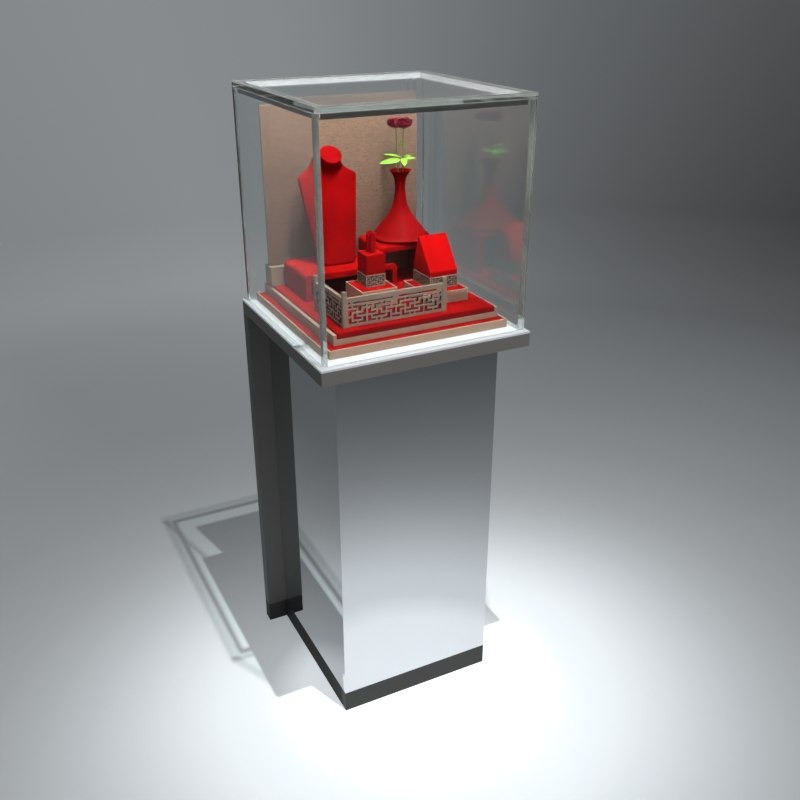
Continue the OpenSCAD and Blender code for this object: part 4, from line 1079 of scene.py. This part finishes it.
leaves = [leaf(f"leaf_{i}", *facts) for i, facts in enumerate(LEAVES)]
for centre, turn in BLOOMS:
    for step in range(SEPALS):
        foot = centre - Vector((0, 0, SEPAL_DROP))
        way = 360 / SEPALS * step + 20
        leaves.append(leaf(f"sepal_{turn}_{step}", foot, way, SEPAL_LENGTH, SEPAL_WIDTH, SEPAL_RISE))
foliage = smooth(thicken(joined("rose_leaves", leaves), LEAF_THICK), 60)
leaf_cloth, tree, shader = finish("leaf_cloth", {"Specular IOR Level": 0.3, "Roughness": 0.5})
mottle = noise(tree, 140.0, 4.0, 0.6)
wire(tree, shader, blend(tree, mottle, LEAF_GREEN, LEAF_SHADE), None, mottle, 0.2, 0.0005)
settle(foliage, leaf_cloth, "rose_stem", "rose_vase")
stem_green = lacquered("stem_green", STEM_GREEN, STEM_WORN, 0.55, fleck=0.3, cells=400.0)
dress(stem_green, "rose_stems")

# Ring stand: a velvet block on its fretwork base, with a curled clip of stiff velvet band on
# top that a ring slips over.

BASE_CUT = 0.0018
BASE_RAIL = 0.0022
BASE_EDGE = 0.00025
BLOCK_ROUND = 0.0012
CLIP_RADIUS = 0.0090
CLIP_WALL = 0.0036
CLIP_ROUND = 0.0009
CLIP_OPEN = math.radians(40)
CLIP_FACING = math.radians(30)

fretted("ring_fret_base", "XY", BASE_CUT, BASE_RAIL, BASE_RAIL, BASE_EDGE)
ring_block = smooth(round_over(blank("ring_block_velvet", *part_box("ring_block")), BLOCK_ROUND, 4))
settle(ring_block, velvet_board, "red_velvet_pad", "ring_stand", "ring_block")
clip_low, clip_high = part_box("ring_clip")
clip_middle = (clip_low + clip_high) / 2
clip = sheet("ring_clip_velvet", 36, 10)
for v in clip.data.vertices:
    around, up = v.co.x, (v.co.y + 1) / 2
    angle = CLIP_FACING + around * (math.pi - CLIP_OPEN / 2)
    radius = CLIP_RADIUS * (1 - 0.10 * max(0, around - 0.4))
    lip = 1 - 0.03 * math.cos(angle * 2)
    height = clip_low.z + (clip_high.z - clip_low.z) * up * lip
    v.co = (clip_middle.x + radius * math.cos(angle), clip_middle.y + radius * math.sin(angle), height)
smooth(round_over(thicken(clip, CLIP_WALL), CLIP_ROUND, angle=50), 50)
settle(clip, velvet_board, "red_velvet_pad", "ring_stand", "ring_clip")

# Slanted stand: a wedge wrapped in velvet on its own fretwork base, with a low lip in front and
# two small slits at the ridge that hold a chain.

# the wedge's velvet is a lighter copy of the pads' red velvet: painted light
WEDGE_PAINTED_LIGHT_RED = linear(172, 0, 0)
WEDGE_BRUSHED_PAINTED_LIGHT = linear(152, 0, 0)
WEDGE_ROUND = 0.0009


def cad_copy(name, node):
    """A copy of a CAD solid as one clean mesh, as the start of a piece that stands for it."""
    made = bpy.data.objects.new(name, nodes[node].data.copy())
    made.data.name = name
    bpy.context.scene.collection.objects.link(made)
    alone(made)
    bpy.ops.object.mode_set(mode="EDIT")
    bpy.ops.mesh.select_all(action="SELECT")
    bpy.ops.mesh.remove_doubles(threshold=SAME_POINT)
    bpy.ops.mesh.dissolve_limited(angle_limit=math.radians(1))
    bpy.ops.object.mode_set(mode="OBJECT")
    return made


fretted("slant_fret_base", "XY", BASE_CUT, BASE_RAIL, BASE_RAIL, BASE_EDGE)
# a lighter copy of the red velvet, as painted light
velvet_wedge = velvet("velvet_wedge", WEDGE_PAINTED_LIGHT_RED, WEDGE_BRUSHED_PAINTED_LIGHT, patches=12.0)
wedge = smooth(round_over(cad_copy("slant_block_velvet", "slant_block"), WEDGE_ROUND))
settle(wedge, velvet_wedge, "red_velvet_pad", "slanted_stand", "slant_block")

# Service door with its hinges and cam lock: a lacquered board in the back panel, on two zinc
# hinges, with a chromed lock near its free edge.

CHROME = linear(214, 216, 220)
CHROME_WORN = linear(232, 232, 232)

lock_chrome = lacquered("lock_chrome", CHROME, CHROME_WORN, 0.16, fleck=0.03, amount=0.3, metallic=1.0)
# the door takes the back panel's darker lacquer, with its painted shade
dress(rear_lacquer_painted_shade, "service_door", edge=LACQUER_EDGE)
dress(zinc_steel, "hinge_door_leaves", "hinge_frame_leaves", "hinge_pins", edge=0.0002)
dress(lock_chrome, "lock_body", "lock_plug", edge=0.0003)

# Mains inlet and its rocker: moulded black plastic, snapped into an opening in the back panel.
# The rocker switches the counter's light.

BLACK = linear(34, 34, 36)
BLACK_WORN = linear(58, 58, 60)

black_plastic = lacquered("black_plastic", BLACK, BLACK_WORN, 0.5, fleck=0.2, amount=0.3)
dress(black_plastic, "power_inlet", "switch_rocker", edge=0.0004)
